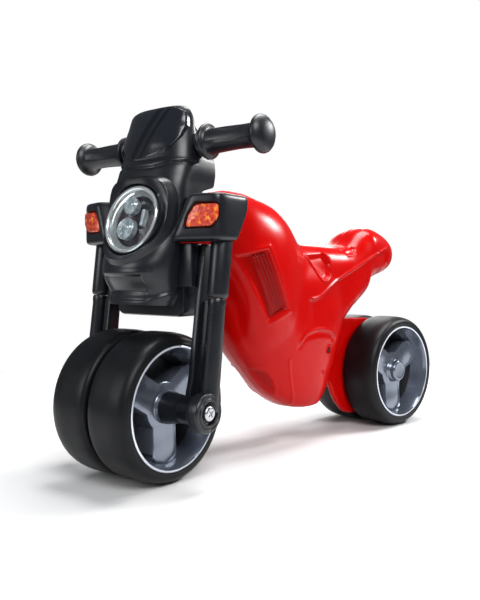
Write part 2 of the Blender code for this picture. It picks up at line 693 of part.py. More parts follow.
def fairing_row(station, grow, nose_points=9, whole=True):
    """One level of the fairing, from the left round the front; whole adds its rear edges."""
    z, front, half, nose, rear, rear_half = station
    row = []
    for i in range(nose_points):
        angle = math.pi * i / (nose_points - 1)
        across, along = superellipse(angle, half + grow, nose + grow, NOSE_SQUARENESS)
        row.append((across, front + nose - along, z))
    if whole:
        return [(rear_half + grow, rear, z)] + row + [(-rear_half - grow, rear, z)]
    return row[1:-1]


def fairing_surface(name, grow, foot=0.0, whole=True, top=False):
    """The fairing's skin above the height foot, open at its back and its foot."""
    rows = [fairing_row(s, grow, whole=whole) for s in FAIRING_STATIONS if s[0] >= foot]
    bm = bmesh.new()
    grid = [[bm.verts.new(point) for point in row] for row in rows]
    for under, over in zip(grid, grid[1:]):
        for i in range(len(under) - 1):
            bm.faces.new((under[i], over[i], over[i + 1], under[i + 1]))
    if top:
        bm.faces.new(list(reversed(grid[-1])))
    mesh = bpy.data.meshes.new(name)
    bm.normal_update()
    bm.to_mesh(mesh)
    bm.free()
    return mesh


def fairing_solid(name, grow):
    """A closed block with the fairing's outer shape."""
    return loft_mesh(name, [fairing_row(s, grow) for s in FAIRING_STATIONS])


def thicken(obj, thickness, offset):
    solid = obj.modifiers.new("wall", "SOLIDIFY")
    solid.thickness = thickness
    solid.offset = offset
    solid.use_quality_normals = True
    return solid


LAMP_TURN = Matrix.Translation(LAMP_CENTRE) @ Matrix.Rotation(math.pi / 2 - LAMP_LEAN, 4, "X")


def egg_outline(grow, count=28):
    """The headlamp surround seen along the lamp's axis: a shield, square above and round below."""
    points = []
    for i in range(count):
        angle = 2 * math.pi * i / count
        above = math.sin(angle) > 0
        rise = EGG_ABOVE if above else EGG_BELOW
        squareness = EGG_TOP_SQUARENESS if above else EGG_FOOT_SQUARENESS
        points.append(superellipse(angle, EGG_HALF + grow, rise + grow, squareness))
    return points


def make_fairing():
    shell = piece("front_fairing", fairing_surface("front_fairing", 0, top=True), "black_plastic", STEERING)
    thicken(shell, SHELL, -1)
    window = cutter("surround_window", plate_mesh("surround_window", egg_outline(GAP), 0.04, LAMP_TURN),
                    STEERING)
    cut(shell, window)
    reach = 0.08
    bar = cylinder_mesh("fairing_bar_hole", BAR_R + 2 * GAP, (-reach, BAR_Y, CLAMP_Z),
                        (reach, BAR_Y, CLAMP_Z), 20)
    cut(shell, cutter("fairing_bar_hole", bar, STEERING))

    surround = piece("headlamp_surround", fairing_surface("headlamp_surround", 0), "black_plastic", STEERING)
    thicken(surround, SHELL, -1)
    blank = plate_mesh("surround_blank", egg_outline(-GAP), 0.04, LAMP_TURN)
    combine(surround, cutter("surround_blank", blank, STEERING), "INTERSECT")
    hole = cylinder_mesh("lamp_hole", LAMP_R + GAP, (0, 0, -0.06), (0, 0, 0.06), 28)
    cut(surround, cutter("lamp_hole", hole, STEERING, LAMP_TURN))

    skin = fairing_surface("windscreen", GAP, SCREEN_FOOT, whole=False)
    thicken(piece("windscreen", skin, "screen_plastic", STEERING), SCREEN_WALL, 1)


def make_dash_cover():
    """The panel that closes the fairing's back above the tank."""
    rings = []
    for z, _, _, _, rear, rear_half in FAIRING_STATIONS:
        if z < COVER_FOOT:
            continue
        wide = rear_half - SHELL - 4 * GAP
        front_y = rear - 0.0080
        rear_y = rear - 0.0050
        height = min(z, COVER_TOP)
        rings.append([(-wide, front_y, height), (wide, front_y, height), (wide, rear_y, height),
                      (-wide, rear_y, height)])
    piece("dash_cover", loft_mesh("dash_cover", rings[:-1]), "black_plastic", STEERING)


def make_headlamp():
    """Bezel, ring, bowl, two round lamps, an upright light bar and a clear lens, on the lamp's axis."""
    bezel = [(RING_R + GAP, 0.0040), (LAMP_R - 0.0008, 0.0040), (LAMP_R, 0.0030), (LAMP_R, -0.0070),
             (RING_R + GAP, -0.0070)]
    mesh = turned_mesh("headlamp_bezel", bezel, 28, closed=True, along_x=False)
    piece("headlamp_bezel", mesh, "black_plastic", STEERING, LAMP_TURN, 25)
    inner = BOWL_R + GAP
    ring = [(inner, 0.0030), (inner + 0.0015, 0.0050), (RING_R, 0.0050), (RING_R, 0.0005), (inner, 0.0005)]
    mesh = turned_mesh("headlamp_ring", ring, 28, closed=True, along_x=False)
    piece("headlamp_ring", mesh, "chrome", STEERING, LAMP_TURN, 25)
    bowl = [(0, -0.0110), (0.0180, -0.0110), (BOWL_R, -0.0050), (BOWL_R, 0.0002), (RING_R, 0.0002),
            (RING_R, -0.0075), (0.0200, -0.0140), (0, -0.0140)]
    mesh = turned_mesh("headlamp_bowl", bowl, 28, along_x=False)
    piece("headlamp_bowl", mesh, "lamp_dark", STEERING, LAMP_TURN, 25)
    seat = [(0, -0.0107), (0.0180, -0.0107), (BOWL_R, -0.0047), (0.0500, -0.0047), (0.0500, -0.0300),
            (0, -0.0300)]
    seat = cutter("bowl_seat", turned_mesh("bowl_seat", seat, 28, along_x=False), STEERING, LAMP_TURN)
    for name, radius, across, up in (("headlamp_upper_lamp", 0.0095, -0.0050, 0.0205),
                                     ("headlamp_lower_lamp", 0.0145, -0.0080, -0.0110)):
        profile = [(0, -0.0036), (radius * 0.6, -0.0042), (radius * 0.85, -0.0026), (radius, -0.0032),
                   (radius, -0.0130), (0, -0.0130)]
        mesh = turned_mesh(name, profile, 20, along_x=False)
        lamp = piece(name, mesh, "lamp_glass", STEERING, LAMP_TURN @ Matrix.Translation((across, up, 0)), 25)
        cut(lamp, seat)
    bar = box_mesh("headlamp_light_bar", (0.0130, -0.0105, -0.0130), (0.0185, 0.0105, -0.0045), 0.001)
    cut(piece("headlamp_light_bar", bar, "lamp_glass", STEERING, LAMP_TURN), seat)
    lens = [(0, 0.0056), (0.0200, 0.0048), (BOWL_R, 0.0028), (BOWL_R, 0.0013), (0.0200, 0.0033), (0, 0.0041)]
    mesh = turned_mesh("headlamp_lens", lens, 28, along_x=False)
    piece("headlamp_lens", mesh, "clear_lens", STEERING, LAMP_TURN)


def pod_outline():
    """An indicator pod's left side in plan, as (x, y): it wraps back over the fork tube."""
    return [(0.048, -0.0060), (0.075, -0.0025), (0.1165, 0.0085), (0.1225, 0.0145), (0.1238, 0.0300),
            (0.1235, 0.0600), (0.1190, 0.0710), (0.0960, 0.0730), (0.0890, 0.0660), (0.0860, 0.0360),
            (0.048, 0.0300)]


LENS_TURN = math.radians(15.5)
LENS_CENTRE = Vector((0.0975, 0.0036, 0.3290))
POD_LOW = 0.2985
POD_TOP = 0.3570


def lens_outline(grow):
    corners = [(-0.0200, -0.0130), (0.0130, -0.0130), (0.0190, -0.0040), (0.0190, 0.0130), (-0.0100, 0.0130),
               (-0.0170, 0.0010)]
    return [(x + math.copysign(grow, x), y + math.copysign(grow, y)) for x, y in corners]


def make_indicator(name, side):
    mirror = Matrix.Identity(4) if side > 0 else Matrix.Diagonal((-1, 1, 1, 1))
    middle = Matrix.Translation((0, 0, (POD_LOW + POD_TOP) / 2))
    mesh = plate_mesh("indicator_pod_" + name, pod_outline(), (POD_TOP - POD_LOW) / 2, middle)
    bm = bmesh.new()
    bm.from_mesh(mesh)
    bmesh.ops.dissolve_limit(bm, angle_limit=0.02, verts=bm.verts[:], edges=bm.edges[:])
    bmesh.ops.bevel(bm, geom=bm.edges[:], offset=0.004, segments=2, profile=0.5, affect="EDGES")
    bmesh.ops.transform(bm, matrix=mirror, verts=bm.verts[:])
    bpy.data.meshes.remove(mesh)
    pod = piece("indicator_pod_" + name, mesh_from(bm, "indicator_pod_" + name), "black_plastic", STEERING)

    inside = cutter("fairing_form_" + name, fairing_solid("fairing_form", GAP), STEERING)
    bore = cylinder_mesh("pod_bore", TUBE_R + GAP, tube_point(side, 0.27),
                         tube_point(side, TUBE_TOP_Z + GAP), 24)
    blade = box_mesh("blade_slot", (BLADE_IN - GAP, 0.015, 0.25), (0.0914, 0.055, 0.2965 + 2 * GAP))
    blade.transform(mirror)
    seat = mirror @ Matrix.Translation(LENS_CENTRE) @ Matrix.Rotation(LENS_TURN, 4, "Z")
    seat = seat @ Matrix.Rotation(math.pi / 2, 4, "X")
    recess = plate_mesh("lens_recess", lens_outline(GAP), 0.006, seat)
    cut(pod, inside, cutter("pod_bore_" + name, bore, STEERING),
        cutter("blade_slot_" + name, fix_mirror(blade), STEERING),
        cutter("lens_recess_" + name, fix_mirror(recess), STEERING))
    flat = seat @ Matrix.Translation((0, 0, -0.0007))
    lens = plate_mesh("indicator_lens_" + name, lens_outline(0), 0.0050, flat)
    piece("indicator_lens_" + name, fix_mirror(lens), "amber_lens", STEERING)


def fix_mirror(mesh):
    """Turn a mirrored mesh's faces outwards again."""
    bm = bmesh.new()
    bm.from_mesh(mesh)
    bmesh.ops.recalc_face_normals(bm, faces=bm.faces[:])
    bm.to_mesh(mesh)
    bm.free()
    return mesh


def main():
    make_body()
    make_head_bushes()
    make_rear_axle()
    make_wheel("rear_left", REAR_WHEEL_INNER, 1, WHEELBASE, DATUM)
    make_wheel("rear_right", REAR_WHEEL_INNER, -1, WHEELBASE, DATUM)
    make_wheel("front_left", FRONT_WHEEL_INNER, 1, 0, STEERING)
    make_wheel("front_right", FRONT_WHEEL_INNER, -1, 0, STEERING)
    make_front_axle()
    for name, side in (("left", 1), ("right", -1)):
        make_fork_leg(name, side)
        make_indicator(name, side)
    make_crown()
    make_stem()
    make_handlebar()
    make_fairing()
    make_dash_cover()
    make_headlamp()


main()
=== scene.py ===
"""Looks of the child's ride-on push motorcycle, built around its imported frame.

Body pieces and the front end are both drawn pointing straight ahead: +Z up, -Y the way it drives,
+X the rider's left, and y is the distance behind the front axle.  BODY and FRONT take them from
there to the frame, FRONT with the front end's turn.
"""
import json
import math

import bmesh
import bpy
import numpy as np
from mathutils import Matrix, Vector


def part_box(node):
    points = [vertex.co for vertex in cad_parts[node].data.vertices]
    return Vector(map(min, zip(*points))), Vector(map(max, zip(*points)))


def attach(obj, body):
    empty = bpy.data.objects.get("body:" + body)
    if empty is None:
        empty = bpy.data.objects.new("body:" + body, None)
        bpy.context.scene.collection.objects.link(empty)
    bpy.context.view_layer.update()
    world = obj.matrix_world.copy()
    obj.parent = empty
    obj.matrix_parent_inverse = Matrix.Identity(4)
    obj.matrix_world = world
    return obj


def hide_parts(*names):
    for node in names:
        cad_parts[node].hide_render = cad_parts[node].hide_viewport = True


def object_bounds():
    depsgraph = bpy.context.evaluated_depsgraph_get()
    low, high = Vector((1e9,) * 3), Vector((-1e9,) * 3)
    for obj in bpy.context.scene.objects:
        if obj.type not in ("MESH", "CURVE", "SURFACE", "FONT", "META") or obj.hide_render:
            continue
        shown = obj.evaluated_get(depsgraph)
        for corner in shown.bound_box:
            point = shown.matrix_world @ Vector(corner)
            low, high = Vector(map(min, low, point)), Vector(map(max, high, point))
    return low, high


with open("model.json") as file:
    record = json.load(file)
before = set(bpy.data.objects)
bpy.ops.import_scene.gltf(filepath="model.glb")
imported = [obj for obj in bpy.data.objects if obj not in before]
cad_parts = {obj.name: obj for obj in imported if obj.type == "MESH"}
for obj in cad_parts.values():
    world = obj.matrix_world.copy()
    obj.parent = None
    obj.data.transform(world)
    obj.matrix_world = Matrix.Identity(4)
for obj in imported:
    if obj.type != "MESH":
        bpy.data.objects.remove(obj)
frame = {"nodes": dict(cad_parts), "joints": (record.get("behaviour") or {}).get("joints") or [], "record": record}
cad_low, cad_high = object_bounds()

# ---------------------------------------------------------------- places read from the frame

JOINTS = {joint["name"]: joint for joint in frame["joints"]}
PIVOT = Vector(JOINTS["steering"]["pos_m"])
STEER_AXIS = Vector(JOINTS["steering"]["axis"]).normalized()
X_AXIS = Vector((1, 0, 0))
STEER_REST = X_AXIS.angle(Vector(JOINTS["front_left_wheel_spin"]["axis"]))
# The front axle lies this far ahead of the steering axis.
AXLE_TO_STEM = 0.0213
WHEEL_R = PIVOT.z
BODY = Matrix.Translation((0, PIVOT.y - AXLE_TO_STEM, 0))
TO_PIVOT = Matrix.Translation(PIVOT)
FRONT = TO_PIVOT @ Matrix.Rotation(STEER_REST, 4, STEER_AXIS) @ TO_PIVOT.inverted() @ BODY
REAR_AXLE_Y = JOINTS["rear_left_wheel_spin"]["pos_m"][1] - BODY.translation.y
REAR_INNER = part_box("rear_left_tyre")[0].x
WHEEL_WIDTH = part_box("rear_left_tyre")[1].x - REAR_INNER
# A front wheel's inner side, and a hub's outer face seen from its wheel's inner side.
FRONT_INNER = 0.0025
HUB_FACE = 0.0475
SIDES = (("left", 1), ("right", -1))
FRONT_SIDES = (("left", FRONT), ("right", FRONT @ Matrix.Diagonal((-1, 1, 1, 1))))
# Turns that point +X outwards on each side.
OUTWARDS = {1: Matrix.Identity(4), -1: Matrix.Rotation(math.pi, 4, "Z")}


# ---------------------------------------------------------------- shape helpers

def smooth_through(places, values, wanted):
    """A smooth curve through (places, values) that never overshoots them, read at wanted."""
    places = np.asarray(places, float)
    values = np.asarray(values, float)
    steps = np.diff(places)
    slopes = np.diff(values) / steps
    tangents = np.zeros(len(places))
    tangents[0] = slopes[0]
    tangents[-1] = slopes[-1]
    for i in range(1, len(places) - 1):
        if slopes[i - 1] * slopes[i] > 0:
            before = 2 * steps[i] + steps[i - 1]
            after = steps[i] + 2 * steps[i - 1]
            tangents[i] = (before + after) / (before / slopes[i - 1] + after / slopes[i])
    wanted = np.asarray(wanted, float)
    at = np.clip(np.searchsorted(places, wanted, side="right") - 1, 0, len(steps) - 1)
    t = (wanted - places[at]) / steps[at]
    return ((2 * t**3 - 3 * t**2 + 1) * values[at] + (t**3 - 2 * t**2 + t) * steps[at] * tangents[at]
            + (3 * t**2 - 2 * t**3) * values[at + 1] + (t**3 - t**2) * steps[at] * tangents[at + 1])


def refined(stations, count):
    """More rows between a table's rows, on smooth curves; the first column is the place."""
    table = np.array(stations, float)
    places = np.linspace(table[0, 0], table[-1, 0], count)
    columns = [smooth_through(table[:, 0], table[:, i], places) for i in range(1, table.shape[1])]
    return np.column_stack([places] + columns)


def smoothstep(value):
    """0 below 0, 1 above 1, and a soft rise between."""
    value = np.clip(value, 0, 1)
    return value * value * (3 - 2 * value)


def superellipse(angle, half_a, half_b, squareness):
    """The points of an oval at these angles; squareness 2 is an ellipse, more is boxier."""
    power = 2 / squareness
    across = np.sign(np.cos(angle)) * np.abs(np.cos(angle)) ** power * half_a
    up = np.sign(np.sin(angle)) * np.abs(np.sin(angle)) ** power * half_b
    return across, up


def add_grid(bm, rows, around=True, caps=True, loop=False):
    """Skin rows of points. around joins each row's ends, loop joins the last row to the first."""
    grid = [[bm.verts.new(tuple(point)) for point in row] for row in rows]
    count = len(grid[0])
    pairs = list(zip(grid, grid[1:]))
    if loop:
        pairs.append((grid[-1], grid[0]))
    for low, high in pairs:
        for i in range(count if around else count - 1):
            j = (i + 1) % count
            bm.faces.new((low[i], low[j], high[j], high[i]))
    if caps:
        bm.faces.new(list(reversed(grid[0])))
        bm.faces.new(grid[-1])
    return grid


def add_turned(bm, profile, segments, matrix=None):
    """Turn (radius, x) points about the X axis. A profile that starts and ends at radius 0 is
    closed by a point at each end; any other profile is closed into a ring."""
    matrix = matrix or Matrix.Identity(4)
    solid = profile[0][0] == 0
    inner = profile[1:-1] if solid else profile
    rows = []
    for radius, x in inner:
        angles = [2 * math.pi * i / segments for i in range(segments)]
        rows.append([matrix @ Vector((x, radius * math.sin(a), radius * math.cos(a))) for a in angles])
    grid = add_grid(bm, rows, caps=False, loop=not solid)
    if solid:
        for row, end in ((grid[0], profile[0]), (grid[-1], profile[-1])):
            tip = bm.verts.new(matrix @ Vector((end[1], 0, 0)))
            for i in range(segments):
                bm.faces.new((row[i], row[(i + 1) % segments], tip))


def corner_arc(before, corner, after, reach, steps):
    """The points of a short arc that takes a corner's place."""
    start = corner + (before - corner).normalized() * reach
    end = corner + (after - corner).normalized() * reach
    shares = [i / steps for i in range(steps + 1)]
    return [tuple(start * (1 - t) ** 2 + corner * 2 * t * (1 - t) + end * t**2) for t in shares]


def rounded(profile, radius, steps):
    """Round a profile's corners: each point but the two ends becomes a short arc."""
    points = [Vector(p) for p in profile]
    result = [profile[0]]
    for before, corner, after in zip(points, points[1:], points[2:]):
        reach = min(radius, (before - corner).length * 0.45, (after - corner).length * 0.45)
        result += corner_arc(before, corner, after, reach, steps)
    return result + [profile[-1]]


def to_mesh(bm, name):
    bmesh.ops.recalc_face_normals(bm, faces=bm.faces[:])
    mesh = bpy.data.meshes.new(name)
    bm.to_mesh(mesh)
    bm.free()
    return mesh


def make_object(name, data):
    obj = bpy.data.objects.new(name, data)
    bpy.context.scene.collection.objects.link(obj)
    return obj


def turned_mesh(name, profile, segments, matrix=None):
    bm = bmesh.new()
    add_turned(bm, profile, segments, matrix)
    return to_mesh(bm, name)


def grid_mesh(name, *grids, **how):
    """One mesh of several skinned grids of points."""
    bm = bmesh.new()
    for rows in grids:
        add_grid(bm, rows, **how)
    return to_mesh(bm, name)


def joined(name, *meshes):
    """One mesh of several that overlap."""
    bm = bmesh.new()
    for mesh in meshes:
        bm.from_mesh(mesh)
    return to_mesh(bm, name)


def box(low, high):
    """The two end rows of a box, across X."""
    return [[(x, low[1], low[2]), (x, high[1], low[2]), (x, high[1], high[2]), (x, low[1], high[2])]
            for x in (low[0], high[0])]


def facing_front(mesh):
    """The open skin with its faces turned to the front."""
    if sum(face.normal.y for face in mesh.polygons) > 0:
        mesh.flip_normals()
    return mesh


def modified(mesh, *modifiers):
    """The mesh with (kind, settings) modifiers applied."""
    obj = make_object("target", mesh)
    for kind, settings in modifiers:
        modifier = obj.modifiers.new(kind, kind)
        for key, value in settings.items():
            setattr(modifier, key, value)
    bpy.context.view_layer.update()
    graph = bpy.context.evaluated_depsgraph_get()
    result = bpy.data.meshes.new_from_object(obj.evaluated_get(graph))
    bpy.data.objects.remove(obj)
    return result


def boolean(mesh, other, operation="DIFFERENCE"):
    """The mesh cut by, or joined to, another one."""
    tool = make_object("boolean_tool", other)
    result = modified(mesh, ("BOOLEAN", dict(operation=operation, solver="EXACT", object=tool)))
    bpy.data.objects.remove(tool)
    return result


def softened(mesh, width, segments, angle=30):
    """The mesh with its sharp edges rounded."""
    return modified(mesh, ("BEVEL", dict(width=width, segments=segments, limit_method="ANGLE",
                                         angle_limit=math.radians(angle), use_clamp_overlap=True)))


def melted(mesh, cell, rounds):
    """The mesh rebuilt from cells of one size, so that its parts melt together, and then smoothed."""
    return modified(mesh, ("REMESH", dict(mode="VOXEL", voxel_size=cell)),
                    ("SMOOTH", dict(factor=0.5, iterations=rounds)))


def walled(mesh, thickness):
    """The open skin thickened inwards."""
    return modified(mesh, ("SOLIDIFY", dict(thickness=thickness, offset=-1)))


def piece(name, mesh, slot, body, matrix, node, angle=35):
    """A finished piece in place of a node of the frame: placed, shaded smooth and hung on its body."""
    mesh.transform(matrix)
    if matrix.determinant() < 0:
        mesh.flip_normals()
    mesh.materials.clear()
    mesh.materials.append(FINISH[slot])
    mesh.shade_smooth()
    mesh.set_sharp_from_angle(angle=math.radians(angle))
    obj = make_object(name, mesh)
    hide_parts(node)
    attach(obj, body)
    return obj


def coordinates(mesh):
    co = np.zeros(len(mesh.vertices) * 3)
    mesh.vertices.foreach_get("co", co)
    return co.reshape(-1, 3)


def normals(mesh):
    values = np.zeros(len(mesh.vertices) * 3)
    mesh.vertex_normals.foreach_get("vector", values)
    return values.reshape(-1, 3)


def set_coordinates(mesh, co):
    mesh.vertices.foreach_set("co", co.ravel())
    mesh.update()


# ---------------------------------------------------------------- materials

class Nodes:
    """A material's node tree, with its Principled shader at hand."""

    def __init__(self, name, colour, roughness, metallic=0.0):
        self.material = bpy.data.materials.new(name)
        self.material.use_nodes = True
        self.tree = self.material.node_tree
        self.shader = self.tree.nodes["Principled BSDF"]
        self.set(Base_Color=(*colour, 1), Roughness=roughness, Metallic=metallic)
        self.place = self.add("ShaderNodeTexCoord").outputs["Object"]

    def set(self, **values):
        for name, value in values.items():
            self.shader.inputs[name.replace("_", " ")].default_value = value

    def add(self, kind, **values):
        node = self.tree.nodes.new(kind)
        for key, value in values.items():
            if hasattr(node, key):
                setattr(node, key, value)
            else:
                node.inputs[key.replace("_", " ")].default_value = value
        return node

    def link(self, output, socket):
        self.tree.links.new(output, socket)

    def noise(self, scale, detail):
        node = self.add("ShaderNodeTexNoise", Scale=scale, Detail=detail)
        self.link(self.place, node.inputs["Vector"])
        return node.outputs["Fac"]

    def cells(self, scale):
        node = self.add("ShaderNodeTexVoronoi", Scale=scale)
        self.link(self.place, node.inputs["Vector"])
        return node.outputs["Distance"]

    def ramp(self, factor, stops):
        """Colours or grey values along a 0 to 1 factor."""
        node = self.add("ShaderNodeValToRGB")
        elements = node.color_ramp.elements
        while len(elements) < len(stops):
            elements.new(0.5)
        for element, (position, value) in zip(elements, stops):
            element.position = position
            element.color = (*value, 1) if isinstance(value, tuple) else (value, value, value, 1)
        self.link(factor, node.inputs["Fac"])
        return node.outputs["Color"]

    def vary(self, socket, scale, detail, *stops):
        """Let one of the shader's values wander with a noise."""
        self.link(self.ramp(self.noise(scale, detail), stops), self.shader.inputs[socket])

    def bump(self, height, strength, distance):
        node = self.add("ShaderNodeBump", Strength=strength, Distance=distance)
        self.link(height, node.inputs["Height"])
        previous = self.shader.inputs["Normal"].links
        if previous:
            self.link(previous[0].from_socket, node.inputs["Normal"])
        self.link(node.outputs["Normal"], self.shader.inputs["Normal"])

    def tint(self, factor, colour):
        """Blend the base colour towards another one."""
        socket = self.shader.inputs["Base Color"]
        node = self.add("ShaderNodeMix", data_type="RGBA")
        self.link(factor, node.inputs["Factor"])
        self.link(socket.links[0].from_socket, node.inputs[6])
        node.inputs[7].default_value = (*colour, 1)
        self.link(node.outputs[2], socket)

    def maths(self, operation, first, second):
        node = self.add("ShaderNodeMath", operation=operation)
        self.link(first, node.inputs[0])
        if isinstance(second, float):
            node.inputs[1].default_value = second
        else:
            self.link(second, node.inputs[1])
        return node.outputs[0]


def moulded_plastic(name, dark, light, roughness, grain=900, grain_depth=0.06):
    """Moulded plastic: slow colour drift, patchy gloss and a fine surface grain."""
    nodes = Nodes(name, light, roughness[0])
    nodes.vary("Base Color", 7, 4, (0.26, dark), (0.74, light))
    nodes.vary("Roughness", 26, 5, (0.3, roughness[0]), (0.7, roughness[1]))
    nodes.bump(nodes.noise(grain, 2), grain_depth, 0.0003)
    nodes.bump(nodes.noise(60, 2), 0.05, 0.001)
    return nodes


def make_red():
    """Glossy red, with painted shade: darker where a point attribute marks a recess."""
    dark = (0.44, 0.0010, 0.0006)
    light = (0.54, 0.0020, 0.0010)
    nodes = moulded_plastic("red_plastic", dark, light, (0.18, 0.27), 700, 0.03)
    nodes.set(Specular_IOR_Level=0.15)
    # Painted shade: a point attribute marks the recesses, and there the red is blended towards a near-black red.
    recess_shade = nodes.add("ShaderNodeAttribute", attribute_name="recess_shade").outputs["Fac"]
    nodes.tint(recess_shade, (0.055, 0.0008, 0.0006))
    return nodes.material


def make_black():
    dark = (0.0042, 0.0052, 0.0082)
    light = (0.0075, 0.0090, 0.0130)
    return moulded_plastic("black_plastic", dark, light, (0.27, 0.38), 1100).material


def make_screen():
    """Glossy smoke-black screen with two darker slanting bands; measured in the front end's frame."""
    # Both bands lie where x - slope * z is between start and start + span.
    slope = 0.45
    start = -0.230
    span = 0.080
    dark = (0.0085, 0.0100, 0.0150)
    light = (0.0115, 0.0135, 0.0195)
    nodes = moulded_plastic("screen_plastic", dark, light, (0.14, 0.20), 1400, 0.02)
    place = nodes.add("ShaderNodeMapping")
    turn = FRONT.inverted()
    place.inputs["Location"].default_value = turn.translation
    place.inputs["Rotation"].default_value = turn.to_euler()
    nodes.link(nodes.place, place.inputs["Vector"])
    split = nodes.add("ShaderNodeSeparateXYZ")
    nodes.link(place.outputs["Vector"], split.inputs["Vector"])
    slant = nodes.maths("SUBTRACT", split.outputs["X"], nodes.maths("MULTIPLY", split.outputs["Z"], slope))
    across = nodes.maths("MULTIPLY", nodes.maths("SUBTRACT", slant, start), 1 / span)
    stops = [(0.30, 0.0), (0.32, 1.0), (0.43, 1.0), (0.45, 0.0),
             (0.52, 0.0), (0.54, 1.0), (0.585, 1.0), (0.605, 0.0)]
    nodes.tint(nodes.ramp(across, stops), (0.0030, 0.0036, 0.0060))
    return nodes.material


def make_tyre():
    """Smooth foam rubber: mottled greys, scuffed a little paler, with a fine open grain."""
    nodes = Nodes("tyre_rubber", (0.012, 0.012, 0.013), 0.5)
    nodes.vary("Base Color", 45, 6, (0.35, (0.0032, 0.0036, 0.0048)), (0.75, (0.0060, 0.0064, 0.0078)))
    nodes.vary("Roughness", 20, 3, (0.3, 0.36), (0.7, 0.48))
    nodes.set(Specular_IOR_Level=0.22)
    nodes.bump(nodes.noise(1500, 2), 0.12, 0.0003)
    nodes.bump(nodes.noise(150, 3), 0.08, 0.0006)
    return nodes.material


def make_grip():
    """Soft rubber with a fine pebble grain."""
    nodes = Nodes("grip_rubber", (0.014, 0.015, 0.018), 0.4)
    nodes.vary("Base Color", 40, 4, (0.3, (0.0045, 0.0050, 0.0080)), (0.7, (0.0090, 0.0100, 0.0140)))
    nodes.vary("Roughness", 30, 3, (0.3, 0.32), (0.7, 0.46))
    nodes.bump(nodes.cells(900.0), 0.10, 0.0003)
    return nodes.material


def make_rim():
    """Silver-grey plastic with fine metal flake and flow marks."""
    nodes = Nodes("rim_plastic", (0.30, 0.33, 0.39), 0.26, 0.72)
    nodes.vary("Base Color", 30, 5, (0.3, (0.155, 0.175, 0.220)), (0.7, (0.200, 0.225, 0.280)))
    nodes.vary("Roughness", 55, 4, (0.3, 0.20), (0.7, 0.26))
    nodes.bump(nodes.noise(2500, 1), 0.05, 0.0002)
    nodes.set(Coat_Weight=0.4, Coat_Roughness=0.1)
    return nodes.material


def make_lip_highlight():
    """The rim's rolled edge: the same plastic, with a painted highlight that makes it bright."""
    nodes = Nodes("rim_lip", (0.80, 0.85, 0.95), 0.18, 0.35)
    nodes.vary("Base Color", 60, 3, (0.3, (0.72, 0.77, 0.88)), (0.7, (0.86, 0.90, 0.98)))
    nodes.set(Coat_Weight=0.5, Coat_Roughness=0.08)
    return nodes.material


def make_well_shade():
    """Painted shade: a near-black moulding colour on the wells between the spokes, where they lie deep in shade.
    """
    dark = (0.0060, 0.0068, 0.0090)
    light = (0.0120, 0.0135, 0.0175)
    return moulded_plastic("rim_well", dark, light, (0.45, 0.6)).material


def make_steel():
    """Plain steel with fine turning marks."""
    nodes = Nodes("steel", (0.55, 0.56, 0.58), 0.28, 1.0)
    nodes.vary("Roughness", 120, 5, (0.3, 0.2), (0.7, 0.38))
    nodes.vary("Base Color", 30, 4, (0.3, (0.45, 0.46, 0.49)), (0.7, (0.66, 0.67, 0.69)))
    nodes.bump(nodes.noise(900, 3), 0.06, 0.0002)
    return nodes.material


def make_nylon():
    nodes = Nodes("nylon", (0.72, 0.72, 0.68), 0.5)
    nodes.vary("Base Color", 50, 4, (0.3, (0.62, 0.62, 0.58)), (0.7, (0.78, 0.78, 0.74)))
    nodes.set(Subsurface_Weight=0.1)
    nodes.bump(nodes.noise(800, 2), 0.05, 0.0002)
    return nodes.material


def make_chrome():
    """Bright plated ring, almost white, with faint haze."""
    nodes = Nodes("chrome", (0.86, 0.91, 0.91), 0.12, 0.75)
    nodes.vary("Roughness", 40, 4, (0.3, 0.08), (0.7, 0.2))
    nodes.vary("Base Color", 14, 2, (0.35, (0.80, 0.87, 0.88)), (0.65, (0.93, 0.95, 0.95)))
    return nodes.material


def make_lamp_dark():
    """Dark plum-black moulded interior."""
    nodes = Nodes("lamp_dark", (0.02, 0.012, 0.022), 0.25)
    nodes.vary("Base Color", 60, 5, (0.3, (0.010, 0.006, 0.014)), (0.7, (0.040, 0.018, 0.034)))
    nodes.set(Coat_Weight=0.5, Coat_Roughness=0.06)
    nodes.bump(nodes.noise(300, 3), 0.08, 0.0004)
    return nodes.material


def make_lamp_glass():
    """Pale blue-white optic with a pressed pattern."""
    nodes = Nodes("lamp_glass", (0.55, 0.66, 0.70), 0.12, 0.35)
    nodes.vary("Base Color", 170, 4, (0.3, (0.34, 0.46, 0.52)), (0.7, (0.80, 0.88, 0.90)))
    nodes.bump(nodes.cells(330.0), 0.35, 0.001)
    nodes.set(Coat_Weight=0.6)
    return nodes.material


def make_clear():
    """Thin dark lens with a faint teal cast."""
    nodes = Nodes("clear_lens", (0.010, 0.016, 0.017), 0.03)
    nodes.set(Alpha=0.13, IOR=1.49, Specular_IOR_Level=0.8)
    nodes.bump(nodes.noise(18, 2), 0.08, 0.001)
    return nodes.material


def make_amber():
    """Translucent amber lens with pressed prisms and warmer flecks."""
    nodes = Nodes("amber_lens", (0.7, 0.06, 0.01), 0.22)
    nodes.vary("Base Color", 190, 5, (0.38, (0.36, 0.012, 0.006)), (0.54, (0.62, 0.042, 0.009)),
               (0.68, (0.95, 0.33, 0.03)))
    nodes.bump(nodes.cells(420.0), 0.5, 0.0012)
    nodes.set(Coat_Weight=0.6, Coat_Roughness=0.08)
    # Painted glow: a faint emission makes the lens look lit through.
    nodes.set(Emission_Color=(0.9, 0.12, 0.01, 1), Emission_Strength=0.06)
    return nodes.material


# The finish for each material slot.
FINISH = {
    "red_plastic": make_red(), "black_plastic": make_black(), "screen_plastic": make_screen(),
    "tyre_rubber": make_tyre(), "grip_rubber": make_grip(), "rim_plastic": make_rim(), "rim_lip": make_lip_highlight(),
    "rim_well": make_well_shade(), "steel": make_steel(), "nylon": make_nylon(), "chrome": make_chrome(),
    "lamp_dark": make_lamp_dark(), "lamp_glass": make_lamp_glass(), "clear_lens": make_clear(),
    "amber_lens": make_amber()}


